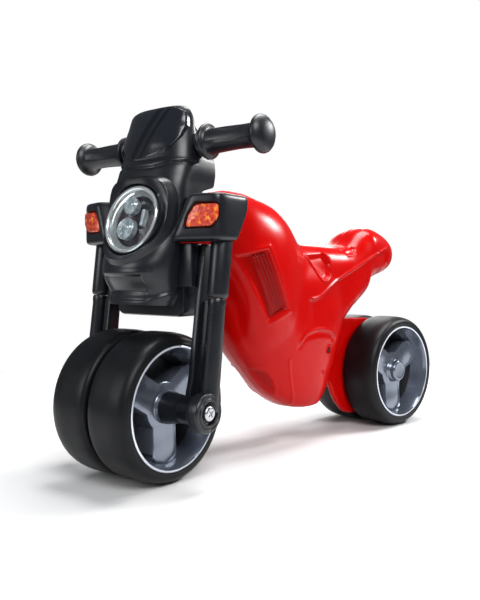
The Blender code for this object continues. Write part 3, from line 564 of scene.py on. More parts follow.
def dress_frame():
    """Give the frame's own nodes these finishes, by their material slot in the record."""
    for part in frame["record"]["subparts"]:
        node = frame["nodes"][part["node"]]
        node.data.materials.clear()
        node.data.materials.append(FINISH[part["material_slot"]])


# ---------------------------------------------------------------- body

# Tank, seat and tail: y, underside z, top z, half-width, squareness.
UPPER_STATIONS = [
    (0.0085, 0.272, 0.356, 0.0060, 2.6),
    (0.0110, 0.268, 0.360, 0.0105, 3.0),
    (0.0160, 0.265, 0.362, 0.0155, 3.4),
    (0.0240, 0.265, 0.362, 0.0195, 3.4),
    (0.0450, 0.265, 0.362, 0.0250, 3.2),
    (0.085, 0.265, 0.362, 0.030, 3.0),
    (0.104, 0.262, 0.3680, 0.037, 2.8),
    (0.120, 0.246, 0.3750, 0.049, 2.6),
    (0.136, 0.212, 0.3790, 0.058, 2.5),
    (0.155, 0.163, 0.3790, 0.066, 2.5),
    (0.185, 0.131, 0.3740, 0.069, 2.5),
    (0.212, 0.122, 0.3670, 0.067, 2.5),
    (0.230, 0.118, 0.3580, 0.063, 2.5),
    (0.244, 0.120, 0.3460, 0.059, 2.6),
    (0.256, 0.122, 0.3320, 0.055, 2.7),
    (0.269, 0.125, 0.3150, 0.051, 3.0),
    (0.286, 0.130, 0.3085, 0.049, 3.2),
    (0.330, 0.145, 0.3070, 0.048, 3.2),
    (0.374, 0.172, 0.3060, 0.048, 3.0),
    (0.393, 0.190, 0.3067, 0.049, 2.8),
    (0.401, 0.197, 0.3090, 0.0495, 2.7),
    (0.410, 0.202, 0.3150, 0.050, 2.6),
    (0.428, 0.213, 0.3315, 0.050, 2.5),
    (0.443, 0.226, 0.3390, 0.050, 2.5),
    (0.4475, 0.246, 0.3405, 0.050, 2.5),
    (0.464, 0.250, 0.3415, 0.048, 2.5),
    (0.487, 0.257, 0.3370, 0.044, 2.4),
    (0.511, 0.264, 0.3280, 0.038, 2.3),
    (0.525, 0.272, 0.3190, 0.029, 2.2),
    (0.533, 0.285, 0.3080, 0.012, 2.0),
]
# Belly: z, front y, rear y, half-width, squareness.
LOWER_STATIONS = [
    (0.0515, 0.284, 0.322, 0.022, 2.4),
    (0.0545, 0.268, 0.334, 0.033, 2.4),
    (0.0630, 0.2490, 0.341, 0.039, 2.4),
    (0.0765, 0.2265, 0.351, 0.044, 2.4),
    (0.0990, 0.2005, 0.362, 0.048, 2.4),
    (0.1200, 0.1810, 0.372, 0.052, 2.4),
    (0.1430, 0.1610, 0.380, 0.055, 2.5),
    (0.1660, 0.1460, 0.388, 0.058, 2.6),
    (0.2010, 0.1300, 0.394, 0.059, 2.7),
    (0.2400, 0.122, 0.398, 0.056, 2.8),
    (0.2750, 0.124, 0.390, 0.046, 2.6),
]


def body_form():
    """The body without its plate: tank, seat, tail and belly melted together."""
    angles = np.linspace(0, 2 * math.pi, 72, endpoint=False)
    upper = []
    for y, low, high, half, squareness in refined(UPPER_STATIONS, 220):
        across, up = superellipse(angles, half, (high - low) / 2, squareness)
        upper.append([(a, y, (low + high) / 2 + b) for a, b in zip(across, up)])
    belly = []
    for z, front, rear, half, squareness in refined(LOWER_STATIONS, 120):
        across, along_y = superellipse(angles, half, (rear - front) / 2, squareness)
        belly.append([(a, (front + rear) / 2 + b, z) for a, b in zip(across, along_y)])
    return melted(grid_mesh("body_form", upper, belly), 0.0028, 14)


def fin_form():
    """The plate between the rear wheels."""
    radius = 0.078
    half = 0.0045
    outline = [(0.340, 0.180), (0.340, 0.085), (0.381, 0.080), (0.391, 0.0585), (0.402, 0.042),
               (0.4175, 0.0270), (0.433, 0.0215)]
    for angle in np.radians(np.linspace(-100, 60, 40)):
        outline.append((REAR_AXLE_Y + radius * math.cos(angle), WHEEL_R + radius * math.sin(angle)))
    outline += [(0.500, 0.180), (0.478, 0.184), (0.420, 0.186)]
    return grid_mesh("fin_form", [[(x, y, z) for y, z in outline] for x in (-half, half)])


def distance_to_line(y, z, points):
    """Distance from each (y, z) to a polyline."""
    best = np.full(y.shape, 1e9)
    for (ay, az), (by, bz) in zip(points, points[1:]):
        dy, dz = by - ay, bz - az
        t = np.clip(((y - ay) * dy + (z - az) * dz) / (dy * dy + dz * dz), 0, 1)
        best = np.minimum(best, np.hypot(y - ay - t * dy, z - az - t * dz))
    return best


def inside_distance(y, z, corners):
    """Signed distance to a convex outline, positive inside; its corners run clockwise, y right and z up."""
    best = np.full(y.shape, 1e9)
    for (ay, az), (by, bz) in zip(corners, corners[1:] + corners[:1]):
        length = math.hypot(by - ay, bz - az)
        best = np.minimum(best, ((y - ay) * (bz - az) - (z - az) * (by - ay)) / length)
    return best


def curve_through(points, count=24):
    """A smooth open curve through a few (y, z) points."""
    points = np.array(points, float)
    along = np.concatenate([[0], np.cumsum(np.hypot(*np.diff(points, axis=0).T))])
    wanted = np.linspace(0, along[-1], count)
    return [tuple(p) for p in np.column_stack([smooth_through(along, points[:, i], wanted) for i in (0, 1)])]


def ridge(distance, width):
    """1 at distance 0, falling softly to nothing."""
    return np.exp(-((distance / width) ** 2))


def bead(y, z, points, width):
    """A rounded bead along a polyline, 1 at its middle."""
    return ridge(distance_to_line(y, z, points), width)


def knee_panel(y, z):
    """Louvred knee panel: deep along its top and rear edges, running out forwards."""
    top = (0.172, 0.294)
    foot = (0.214, 0.208)
    inside = inside_distance(y, z, [(0.122, 0.284), top, foot, (0.176, 0.192)])
    run_out = smoothstep((0.062 - distance_to_line(y, z, [top, foot])) / 0.045)
    height = -0.0070 * smoothstep(inside / 0.0035) * run_out
    # Painted shade: the panel's recess is darkened, most just inside its edges.
    recess_shade = 0.75 * smoothstep((inside - 0.001) / 0.004) * run_out
    height += 0.0011 * ridge(inside + 0.0035, 0.0028) * smoothstep((y - 0.140) / 0.02)
    lean = math.atan2(foot[0] - top[0], top[1] - foot[1])
    across = (y - top[0]) * math.cos(lean) + (z - top[1]) * math.sin(lean)
    for i in range(4):
        rib = ridge(across + 0.0085 + 0.0062 * i, 0.0017) * smoothstep((inside - 0.004) / 0.003)
        height += 0.0042 * rib
        # Each rib takes back some of the painted shade.
        recess_shade -= 0.40 * rib
    return height, recess_shade


def tail_crease(y, z):
    """Long crease from the flank to the tail, with the side tucked in below it."""
    crease = curve_through([(0.268, 0.224), (0.278, 0.222), (0.330, 0.243), (0.400, 0.272), (0.457, 0.296),
                            (0.492, 0.306)])
    away = distance_to_line(y, z, crease)
    line_z = np.interp(y, [p[0] for p in crease], [p[1] for p in crease])
    ends = smoothstep((y - 0.262) / 0.02) * smoothstep((0.500 - y) / 0.015)
    tuck = smoothstep((line_z - z) / 0.004) * smoothstep((0.060 - away) / 0.055)
    return (0.0016 * ridge(away, 0.0022) - 0.0042 * tuck) * ends, 0


def seat_moon(y, z):
    """Half-moon under the seat, with a doubled lip behind it, and the dimple at the seat's rear end."""
    moon = curve_through([(0.276, 0.289), (0.292, 0.267), (0.304, 0.251), (0.312, 0.248)])
    lip = curve_through([(0.312, 0.248), (0.324, 0.254), (0.333, 0.272), (0.331, 0.285), (0.322, 0.293)])
    bowl = [(0.276, 0.289), (0.320, 0.294), (0.333, 0.277), (0.324, 0.254), (0.310, 0.247)]
    dimple = curve_through([(0.378, 0.300), (0.386, 0.295), (0.397, 0.297), (0.405, 0.303)])
    height = -0.0034 * smoothstep(inside_distance(y, z, bowl) / 0.008)
    height += 0.0014 * bead(y, z, moon, 0.0018)
    height += 0.0022 * bead(y, z, lip, 0.0018)
    height += 0.0009 * bead(y - 0.0045, z + 0.001, lip, 0.0014)
    height -= 0.0020 * bead(y, z, dimple, 0.0024)
    height += 0.0009 * bead(y, z + 0.005, dimple, 0.0016)
    return height, 0


def belly_lines(y, z):
    """Curved lip on the flank, the seam down the belly and the scoop in front of it."""
    arc = curve_through([(0.250, 0.158), (0.262, 0.171), (0.291, 0.176), (0.318, 0.173), (0.334, 0.164)])
    seam = curve_through([(0.231, 0.133), (0.237, 0.112), (0.247, 0.088), (0.260, 0.062)])
    scoop = inside_distance(y, z, [(0.150, 0.122), (0.188, 0.1215), (0.200, 0.117), (0.210, 0.107),
                                   (0.2205, 0.092), (0.228, 0.078), (0.222, 0.060), (0.150, 0.060)])
    height = 0.0018 * bead(y, z, arc, 0.0020)
    height -= 0.0012 * bead(y, z + 0.006, arc, 0.0045)
    height += 0.0015 * bead(y, z, seam, 0.0018)
    height -= 0.0016 * smoothstep(scoop / 0.003)
    height += 0.0012 * ridge(scoop + 0.0015, 0.0018)
    # Painted shade inside the scoop.
    return height, 0.30 * smoothstep(scoop / 0.004)


def screw_well(y, z):
    """Screw well and a moulding pip low on the flank."""
    radius = 0.0056
    away = np.hypot(y - 0.321, z - 0.141)
    height = -0.0060 * smoothstep((radius - away) / 0.0014)
    height += 0.0012 * ridge(away - radius - 0.0014, 0.0013)
    height += 0.0012 * smoothstep((0.0036 - np.hypot(y - 0.312, z - 0.107)) / 0.0016)
    # Painted shade deep in the screw well.
    return height, 1.4 * smoothstep((radius + 0.0004 - away) / 0.0012)


def relief(y, z):
    """How far the body's sides stand out (or in, below zero) from the plain form at (y, z), and how much
    painted shade each point gets, from 0 on the open surface to 1 deep in a recess."""
    features = [make(y, z) for make in (knee_panel, tail_crease, seat_moon, belly_lines, screw_well)]
    heights, recess_shades = zip(*features)
    return sum(heights), np.clip(sum(recess_shades), 0, 1)


def make_body():
    mesh = melted(boolean(body_form(), fin_form(), "UNION"), 0.0017, 5)
    co = coordinates(mesh)
    facing = normals(mesh)
    side = smoothstep((np.abs(facing[:, 0]) - 0.15) / 0.35) * smoothstep((np.abs(co[:, 0]) - 0.012) / 0.01)
    push, recess_shade = relief(co[:, 1], co[:, 2])
    co += facing * (push * side)[:, None]
    # A raised parting line round the edge of the moulding.
    seam = ridge(co[:, 0], 0.0014) * (1 - side) * (co[:, 1] > 0.11)
    co += facing * (0.0005 * seam)[:, None]
    set_coordinates(mesh, co)
    # Painted shade: the recess darkness is stored on the points of the sides, for the red finish to darken.
    mesh.attributes.new("recess_shade", "FLOAT", "POINT").data.foreach_set("value", recess_shade * side)
    piece("body_moulding", mesh, "red_plastic", "frame", BODY, "body_shell", angle=180)


# ---------------------------------------------------------------- wheels

SPOKE_TURNS = [math.radians(a) for a in (270, 150, 30)]
SPOKE_HALF = 0.0212
# The radius where the tyre sits on the rim.
RIM_SEAT = 0.0780


def tyre_mesh():
    """Smooth tyre with a tighter shoulder beside its twin and a softer one outside."""
    seat = RIM_SEAT + 0.0002
    inner = [(seat, 0.0), (0.0800, -0.0003), (0.0812, 0.0005), (0.0826, -0.0002), (0.0872, 0.0002),
             (0.0904, 0.0018), (0.0923, 0.0052), (0.0931, 0.0100), (WHEEL_R, 0.0160)]
    outer = [(seat, 0.0), (0.0800, -0.0003), (0.0812, 0.0005), (0.0826, 0.0000), (0.0856, 0.0008),
             (0.0888, 0.0034), (0.0911, 0.0078), (0.0926, 0.0140), (WHEEL_R, 0.0230)]
    profile = inner + [(WHEEL_R, WHEEL_WIDTH / 2)] + [(r, WHEEL_WIDTH - x) for r, x in reversed(outer)]
    return turned_mesh("tyre", rounded(profile, 0.0030, 3), 128)


def spoke_mesh(turn):
    """One broad spoke with a crowned face and a round outer end; it starts inside the hub."""
    inner = 0.0120
    end = 0.0700
    nose_start = 0.0590
    rows = []
    for share in np.linspace(0, 1, 30):
        radius = inner + (end - inner) * math.sin(share * math.pi / 2)
        nose = max(0.0, (radius - nose_start) / (end + 0.0004 - nose_start))
        half = SPOKE_HALF * math.sqrt(1 - nose**2)
        top = 0.0425 + 0.0020 * smoothstep((radius - 0.030) / 0.030)
        side = [(top - 0.0300, 1.0), (top - 0.0040, 1.0), (top - 0.0020, 0.93), (top - 0.0008, 0.72),
                (top, 0.35)]
        ring = side + [(x, -width) for x, width in reversed(side)]
        rows.append([(x, half * width, radius) for x, width in ring])
    mesh = grid_mesh("spoke", rows)
    mesh.transform(Matrix.Rotation(turn - math.pi / 2, 4, "X"))
    return mesh


def rim_mesh():
    """Dished rim facing +X: rolled lip, sloping dish wall, three spokes, hub disc and closed web."""
    lip = WHEEL_WIDTH - 0.0004
    barrel = [(0.0600, 0.0125), (0.0632, 0.0250), (0.0655, 0.0330), (0.0690, 0.0420), (0.0722, 0.0530),
              (0.0738, lip - 0.0022), (0.0748, lip - 0.0004), (0.0762, lip), (0.0774, lip - 0.0006),
              (RIM_SEAT, lip - 0.0022), (RIM_SEAT, 0.0010), (0.0700, 0.0010), (0.0600, 0.0090)]
    hub = [(0.0088, 0.0005), (0.0088, HUB_FACE - 0.0008), (0.0096, HUB_FACE), (0.0178, HUB_FACE),
           (0.0192, HUB_FACE - 0.0014), (0.0200, 0.0434), (0.0212, 0.0422), (0.0290, 0.0414),
           (0.0308, 0.0404), (0.0314, 0.0384), (0.0318, 0.0110), (0.0206, 0.0090), (0.0175, 0.0005)]
    web = [(0.0250, 0.0128), (0.0610, 0.0128), (0.0625, 0.0100), (0.0610, 0.0088), (0.0250, 0.0088)]
    rim = turned_mesh("rim", barrel, 144)
    for turn in SPOKE_TURNS:
        rim = boolean(rim, spoke_mesh(turn), "UNION")
    for profile in (hub, web):
        rim = boolean(rim, turned_mesh("turned", profile, 96), "UNION")
    return softened(rim, 0.0007, 2, 40)


def rim_finish(face):
    """A face's finish: 0 for the plain silver ones, 1 for the painted shade in the wells between the spokes, 2 for
    the painted highlight on the rolled edge.
    """
    radius = math.hypot(face.center.y, face.center.z)
    # Faces of the rolled edge take the painted highlight.
    if radius > 0.0746 and face.center.x > WHEEL_WIDTH - 0.0022:
        return 2
    # Faces deep in the wells take the painted shade.
    deep = 0.0203 < radius < 0.0660 and 0.0100 < face.center.x < 0.0335
    return int(deep and (face.normal.x > 0.5 or radius > 0.0600))


RIM_MESH = rim_mesh()


def make_wheel(name, inner, side, y, place):
    matrix = place @ Matrix.Translation((side * inner, y, WHEEL_R)) @ OUTWARDS[side]
    body = "wheel_" + name
    piece(name + "_tread", tyre_mesh(), "tyre_rubber", body, matrix, name + "_tyre", angle=60)
    mesh = RIM_MESH.copy()
    finishes = [rim_finish(face) for face in mesh.polygons]
    rim = piece(name + "_spoked_rim", mesh, "rim_plastic", body, matrix, name + "_rim", angle=38)
    # Two more finishes: painted shade for the wells and a painted highlight for the rolled edge.
    rim.data.materials.append(FINISH["rim_well"])
    rim.data.materials.append(FINISH["rim_lip"])
    rim.data.polygons.foreach_set("material_index", finishes)


def make_wheels():
    for end, inner, y, place in (("rear", REAR_INNER, REAR_AXLE_Y, BODY), ("front", FRONT_INNER, 0, FRONT)):
        for name, side in SIDES:
            make_wheel(end + "_" + name, inner, side, y, place)


def make_rear_caps():
    base = REAR_INNER + HUB_FACE + 0.0003
    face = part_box("rear_hub_cap_left")[1].x
    profile = [(0, face - 0.0007), (0.0125, face - 0.0007), (0.0135, face), (0.0158, face - 0.0002),
               (0.0175, face - 0.0022), (0.0180, base), (0, base)]
    for name, side in SIDES:
        mesh = turned_mesh("hub_cap", rounded(profile, 0.0012, 3), 64)
        matrix = BODY @ Matrix.Translation((0, REAR_AXLE_Y, WHEEL_R)) @ OUTWARDS[side]
        piece("hub_cap_" + name, mesh, "rim_plastic", "frame", matrix, "rear_hub_cap_" + name)


# ---------------------------------------------------------------- fork

# The left fork tube, the two sides of the blade next to it and the axle boss.
TUBE_X = 0.105
TUBE_R = 0.0133
TUBE_BREAK_Z = 0.229
TUBE_TOP_Z = 0.318
BLADE_IN = 0.0760
BLADE_OUT = 0.0840
BOSS_FACE = 0.1168
BOSS_R = 0.0242


def tube_point(z):
    """The middle of the left fork tube at height z."""
    return Vector((TUBE_X, 0.011 + 0.12 * (z - WHEEL_R), z))


def along(start, end):
    """A matrix that puts X = 0 at start and points the X axis at end."""
    turn = X_AXIS.rotation_difference(end - start).to_matrix().to_4x4()
    return Matrix.Translation(start) @ turn


def tube_mesh(name, start, end, profile):
    """A round bar from start to end; the profile's places are shares of its length."""
    length = (end - start).length
    points = [(0, 0)] + [(radius, share * length) for radius, share in profile] + [(0, length)]
    return turned_mesh(name, points, 64, along(start, end))


def level(low_x, high_x, low_y, high_y, z):
    """A rectangle at height z."""
    return [(low_x, low_y, z), (high_x, low_y, z), (high_x, high_y, z), (low_x, high_y, z)]


def blade_mesh():
    """The flat blade between tube and wheel."""
    rows = []
    for z, front, back in ((0.0800, 0.0090, 0.0110), (0.0860, 0.0120, 0.0140), (0.1050, 0.0140, 0.0160),
                           (0.1300, 0.0100, 0.0125), (0.2960, 0.0070, 0.0100)):
        y = tube_point(z).y
        rows.append(level(BLADE_IN, BLADE_OUT, y - front, y + back, z))
    return softened(grid_mesh("blade", rows), 0.0016, 3)


def web_mesh():
    """The web that joins blade and tube."""
    rows = []
    for z, deep in ((WHEEL_R, 0.0050), (0.150, 0.0040), (TUBE_BREAK_Z - 0.004, 0.0035)):
        y = tube_point(z).y + 0.002
        rows.append(level(0.080, TUBE_X, y - deep, y + deep, z))
    return grid_mesh("web", rows)


def boss_mesh():
    """The ringed boss round the axle screw."""
    face = BOSS_FACE
    profile = [(0, face - 0.0060), (0.0124, face - 0.0060), (0.0132, face - 0.0050), (0.0142, face - 0.0004),
               (0.0152, face), (0.0172, face), (0.0180, face - 0.0016), (0.0190, face - 0.0018),
               (0.0198, face - 0.0006), (BOSS_R - 0.0018, face - 0.0008), (BOSS_R, face - 0.0030),
               (BOSS_R, face - 0.0150), (0.0222, face - 0.0185), (0.0175, face - 0.0210), (0.0168, BLADE_IN),
               (0, BLADE_IN)]
    return turned_mesh("boss", rounded(profile, 0.0010, 3), 96, Matrix.Translation((0, 0, WHEEL_R)))


def leg_mesh():
    """The left fork leg: blade, lower tube, web and axle boss."""
    profile = [(0.0120, 0), (0.0118, 0.1), (0.0107, 0.93), (0.0113, 0.95), (0.0113, 0.985), (0.0105, 1)]
    tube = tube_mesh("tube", tube_point(WHEEL_R), tube_point(TUBE_BREAK_Z - 0.0006), profile)
    return joined("fork_leg", blade_mesh(), tube, web_mesh(), boss_mesh())


def sleeve_mesh():
    """The wider upper tube, with a rounded foot."""
    profile = [(0.0112, 0), (0.0118, 0.01), (0.0128, 0.03), (TUBE_R, 0.06), (TUBE_R, 0.98), (0.0128, 1)]
    return tube_mesh("fork_sleeve", tube_point(TUBE_BREAK_Z + 0.0003), tube_point(TUBE_TOP_Z), profile)


def screw_mesh():
    """Pan-head screw with a cross recess, facing +X."""
    face = BOSS_FACE + 0.0012
    base = BOSS_FACE - 0.0057
    recess = 0.0020
    long = 0.0052
    short = 0.0009
    profile = [(0, face), (0.0070, face), (0.0092, face - 0.0016), (0.0092, base), (0, base)]
    head = turned_mesh("screw", rounded(profile, 0.0014, 4), 64)
    for half_y, half_z in ((long, short), (short, long)):
        slot = box((face - recess, -half_y, -half_z), (face + recess, half_y, half_z))
        head = boolean(head, grid_mesh("slot", slot))
    head.transform(Matrix.Rotation(math.radians(35), 4, "X"))
    return head


def spacer_mesh():
    """The collar that fills the space between the wheel's hub and the blade, flared at the hub."""
    hub = FRONT_INNER + HUB_FACE + 0.0006
    end = BLADE_IN - 0.0003
    profile = [(0.0056, end), (0.0168, end), (0.0176, end - 0.004), (0.0192, hub + 0.007),
               (0.0206, hub + 0.003), (0.0206, hub), (0.0056, hub)]
    return turned_mesh("axle_spacer", profile, 72)


def crown_mesh():
    """The bridge behind the chin: beam, side plates and a skirt with a level, round-cornered edge."""
    side = BLADE_IN - 0.0003
    plates = [box((end * 0.046, 0.0125, 0.2425), (end * side, 0.034, 0.297)) for end in (-1, 1)]
    beam = grid_mesh("beam", box((-side, 0.018, 0.2425), (side, 0.056, 0.2603)), *plates)
    outline = rounded([(-0.060, 0.250), (-0.060, 0.2045), (0.060, 0.2045), (0.060, 0.250)], 0.012, 8)
    skirt = [[(x * 0.97, 0.0165, 0.232 + (z - 0.232) * 0.94) for x, z in outline]]
    skirt += [[(x, y, z) for x, z in outline] for y in (0.020, 0.052)]
    return joined("crown", softened(beam, 0.0018, 3), grid_mesh("skirt", skirt))


def make_fork():
    for name, matrix in FRONT_SIDES:
        axle = matrix @ Matrix.Translation((0, 0, WHEEL_R))
        piece("leg_" + name, leg_mesh(), "black_plastic", "steering", matrix, "fork_leg_" + name)
        piece("sleeve_" + name, sleeve_mesh(), "black_plastic", "steering", matrix, "fork_tube_" + name)
        piece("screw_" + name, screw_mesh(), "steel", "steering", axle, "axle_screw_" + name)
        piece("hub_spacer_" + name, spacer_mesh(), "black_plastic", "steering", axle, "axle_spacer_" + name)
    piece("crown", crown_mesh(), "black_plastic", "steering", FRONT, "fork_crown")


# ---------------------------------------------------------------- handlebar

BAR = Matrix.Translation((0, 0.049, 0.427))
# The radius of the holes that the bar passes through.
BAR_HOLE = 0.0112


def grip_mesh():
    """Rubber grip along +X: ringed flange, waisted barrel with an oval relief, domed mushroom end."""
    outer = [(BAR_HOLE, 0.0700), (0.0214, 0.0700), (0.0227, 0.0710), (0.0227, 0.0740), (0.0214, 0.0754),
             (0.0176, 0.0764), (0.0163, 0.0785), (0.0159, 0.0880), (0.0151, 0.1050), (0.0146, 0.1200),
             (0.0148, 0.1330), (0.0155, 0.1440), (0.0170, 0.1490), (0.0205, 0.1515), (0.0232, 0.1532),
             (0.0237, 0.1553), (0.0232, 0.1578), (0.0210, 0.1607), (0.0165, 0.1640), (0.0105, 0.1662),
             (0, 0.1672)]
    mesh = turned_mesh("grip", [(0, 0.1500), (BAR_HOLE, 0.1500)] + outer, 96)
    co = coordinates(mesh)
    turn = np.arctan2(co[:, 2], -co[:, 1])
    radius = np.hypot(co[:, 1], co[:, 2])
    oval = np.hypot((co[:, 0] - 0.112) / 0.028, (turn - 0.35) / 0.75)
    lift = -0.0016 * smoothstep((1 - oval) / 0.25) + 0.0008 * ridge(oval - 1.08, 0.09)
    lift *= radius > 0.0138
    co[:, 1:] *= (1 + lift / np.maximum(radius, 0.005))[:, None]
    set_coordinates(mesh, co)
    return mesh


def collar_mesh():
    profile = [(0.0108, 0.0600), (0.0150, 0.0600), (0.0158, 0.0622), (0.0176, 0.0630), (0.0182, 0.0642),
               (0.0176, 0.0654), (0.0166, 0.0659), (0.0178, 0.0666), (0.0186, 0.0676), (0.0186, 0.0686),
               (0.0178, 0.0694), (0.0108, 0.0694)]
    return turned_mesh("collar", profile, 72)


def make_handlebar():
    for name, place in FRONT_SIDES:
        matrix = place @ BAR
        piece("rubber_grip_" + name, grip_mesh(), "grip_rubber", "steering", matrix, "grip_" + name, angle=50)
        piece("collar_" + name, collar_mesh(), "black_plastic", "steering", matrix, "bar_collar_" + name,
              angle=50)


# ---------------------------------------------------------------- fairing

# Height z, front y, half-width, depth of the rounded front, rear y, half-width at the rear.
FAIRING_STATIONS = [
    (0.2200, -0.0240, 0.0480, 0.033, 0.0110, 0.0480),
    (0.2320, -0.0240, 0.0520, 0.034, 0.0110, 0.0520),
    (0.2550, -0.0370, 0.0545, 0.045, 0.0110, 0.0545),
    (0.2660, -0.0385, 0.0560, 0.045, 0.0110, 0.0560),
    (0.2830, -0.0310, 0.0580, 0.036, 0.0110, 0.0580),
    (0.3030, -0.0222, 0.0600, 0.032, 0.0110, 0.0590),
    (0.3120, -0.0193, 0.0605, 0.031, 0.0400, 0.0590),
    (0.3260, -0.0150, 0.0610, 0.030, 0.0500, 0.0590),
    (0.3500, -0.0100, 0.0615, 0.029, 0.0500, 0.0590),
    (0.3640, -0.0080, 0.0615, 0.029, 0.0520, 0.0590),
    (0.3740, -0.0065, 0.0615, 0.030, 0.0780, 0.0570),
    (0.3900, -0.0020, 0.0620, 0.034, 0.0800, 0.0580),
    (0.4040, 0.0030, 0.0610, 0.034, 0.0800, 0.0570),
    (0.4160, 0.0060, 0.0595, 0.034, 0.0780, 0.0540),
    (0.4250, 0.0080, 0.0580, 0.033, 0.0760, 0.0520),
    (0.4400, 0.0125, 0.0550, 0.031, 0.0705, 0.0490),
    (0.4450, 0.0145, 0.0540, 0.029, 0.0610, 0.0480),
    (0.4500, 0.0165, 0.0530, 0.028, 0.0525, 0.0470),
    (0.4600, 0.0205, 0.0510, 0.024, 0.0480, 0.0450),
    (0.4680, 0.0245, 0.0480, 0.018, 0.0450, 0.0420),
    (0.4740, 0.0290, 0.0430, 0.012, 0.0430, 0.0380),
    (0.4765, 0.0320, 0.0340, 0.008, 0.0415, 0.0300),
]
STATION_Z = [row[0] for row in FAIRING_STATIONS]
NOSE_SQUARENESS = 2.3
# The headlamp: its place, how far it looks up, and the radii of bezel, ring and bowl.
LAMP_CENTRE = Vector((0, -0.0130, 0.3265))
LAMP_LEAN = math.radians(16)
LAMP_R = 0.0467
RING_R = 0.0446
BOWL_R = 0.0396
LAMP_TURN = Matrix.Translation(LAMP_CENTRE) @ Matrix.Rotation(math.pi / 2 - LAMP_LEAN, 4, "X")
LAMP_AXIS = np.array(LAMP_TURN.to_3x3() @ Vector((0, 0, 1)))


def station_values(z):
    """Front y, half-width, front depth, rear y and rear half-width at height z."""
    return [smooth_through(STATION_Z, [row[i] for row in FAIRING_STATIONS], z) for i in range(1, 6)]


def cowl_y(x, z):
    """The cowl's front surface: y at (x, z)."""
    front, half, nose = station_values(z)[:3]
    share = np.clip(np.abs(x) / half, 0, 0.999)
    return front + nose * (1 - (1 - share**NOSE_SQUARENESS) ** (1 / NOSE_SQUARENESS))


def cowl_row(z, columns):
    """One level of the cowl, from its left rear edge round the front, evenly spaced."""
    front, half, nose, rear, rear_half = station_values(z)
    angles = np.linspace(0, math.pi, 90)
    across, along_y = superellipse(angles, half, nose, NOSE_SQUARENESS)
    x = np.concatenate([[rear_half], across, [-rear_half]])
    y = np.concatenate([[rear], front + nose - along_y, [rear]])
    length = np.concatenate([[0], np.cumsum(np.hypot(np.diff(x), np.diff(y)))])
    wanted = np.linspace(0, length[-1], columns)
    return np.interp(wanted, length, x), np.interp(wanted, length, y)


def cowl_relief(x, y, z):
    """Mouldings of the cowl: brow grooves, chin panel and apron."""
    side = np.abs(x)
    front = smoothstep((0.045 - y) / 0.02)
    brow = 0.3935 + 0.165 * np.maximum(side - 0.020, 0)
    height = -0.0016 * ridge(z - brow, 0.0016) * front
    height += 0.0010 * smoothstep((z - brow) / 0.003) * smoothstep((0.4065 - z) / 0.006) * front
    lower = 0.2570 - 0.0002 * side
    chin = front * smoothstep((0.034 - side) / 0.004)
    height -= 0.0030 * chin * smoothstep((lower - z) / 0.002) * smoothstep((z - 0.2330) / 0.003)
    height += 0.0012 * ridge(z - 0.2605, 0.0022) * front * smoothstep((0.046 - side) / 0.006)
    edge = 0.2270 + 0.45 * np.maximum(side - 0.030, 0)
    height += 0.0022 * front * smoothstep((edge - z) / 0.0025)
    return height


def cowl_skin():
    """The cowl's outer skin, closed on top, open below and behind."""
    rows = []
    for z in np.linspace(STATION_Z[0], STATION_Z[-1], 170):
        x, y = cowl_row(z, 170)
        rows.append([(a, b, z) for a, b in zip(x, y)])
    bm = bmesh.new()
    grid = add_grid(bm, rows, around=False, caps=False)
    bm.faces.new(grid[-1])
    return facing_front(to_mesh(bm, "cowl"))


def rod(radius, reach):
    """The profile of a plain round bar that reaches as far to both sides."""
    return [(0, -reach), (radius, -reach), (radius, reach), (0, reach)]


def make_cowl():
    skin = cowl_skin()
    co = coordinates(skin)
    co += normals(skin) * cowl_relief(*co.T)[:, None]
    set_coordinates(skin, co)
    lamp_hole = turned_mesh("lamp_hole", rod(LAMP_R + 0.0015, 0.05), 72,
                            LAMP_TURN @ Matrix.Rotation(math.pi / 2, 4, "Y"))
    bar_hole = turned_mesh("bar_hole", rod(BAR_HOLE, 0.09), 48, BAR)
    mesh = boolean(boolean(walled(skin, 0.0025), lamp_hole), bar_hole)
    piece("cowl", mesh, "black_plastic", "steering", FRONT, "front_fairing", angle=60)


def egg(angle, grow):
    """The headlamp surround's outline in the lamp's plane: square-shouldered above, round below."""
    above = np.sin(angle) > 0
    half_height = np.where(above, 0.0538, 0.0560)
    return superellipse(angle, 0.0548 + grow, half_height + grow, np.where(above, 4.0, 2.0))


def on_lamp(across, up, lift):
    """Points of the lamp's plane, lifted along the lamp's axis."""
    return np.array([LAMP_TURN @ Vector((a, b, lift)) for a, b in zip(across, up)])


def on_cowl(across, up, lift):
    """The points of the cowl in front of points in the lamp's plane, lifted along the lamp's axis."""
    points = on_lamp(across, up, 0)
    points[:, 1] = cowl_y(points[:, 0], points[:, 2])
    return points + lift * LAMP_AXIS


def make_surround():
    """A raised plate round the headlamp with a chamfered, stepped edge."""
    angles = np.linspace(0, 2 * math.pi, 160, endpoint=False)
    ring = (LAMP_R + 0.0004) * np.array([np.cos(angles), np.sin(angles)])
    edge = np.array(egg(angles, -0.0010))
    rows = [on_lamp(*ring, lift) for lift in (-0.0068, 0.0016, 0.0026)]
    for share, lift in ((0.12, 0.0026), (0.3, 0.0040), (0.55, 0.0056), (0.8, 0.0068), (0.92, 0.0073),
                        (0.96, 0.0071), (1.0, 0.0060)):
        rows.append(on_cowl(*(ring + (edge - ring) * share), lift))
    for grow, lift in ((0.0006, 0.0046), (0.0020, 0.0022), (0.0040, 0.0006), (0.0050, -0.0030)):
        rows.append(on_cowl(*egg(angles, grow), lift))
    mesh = grid_mesh("surround", rows, caps=False)
    piece("lamp_surround", mesh, "black_plastic", "steering", FRONT, "headlamp_surround", angle=40)


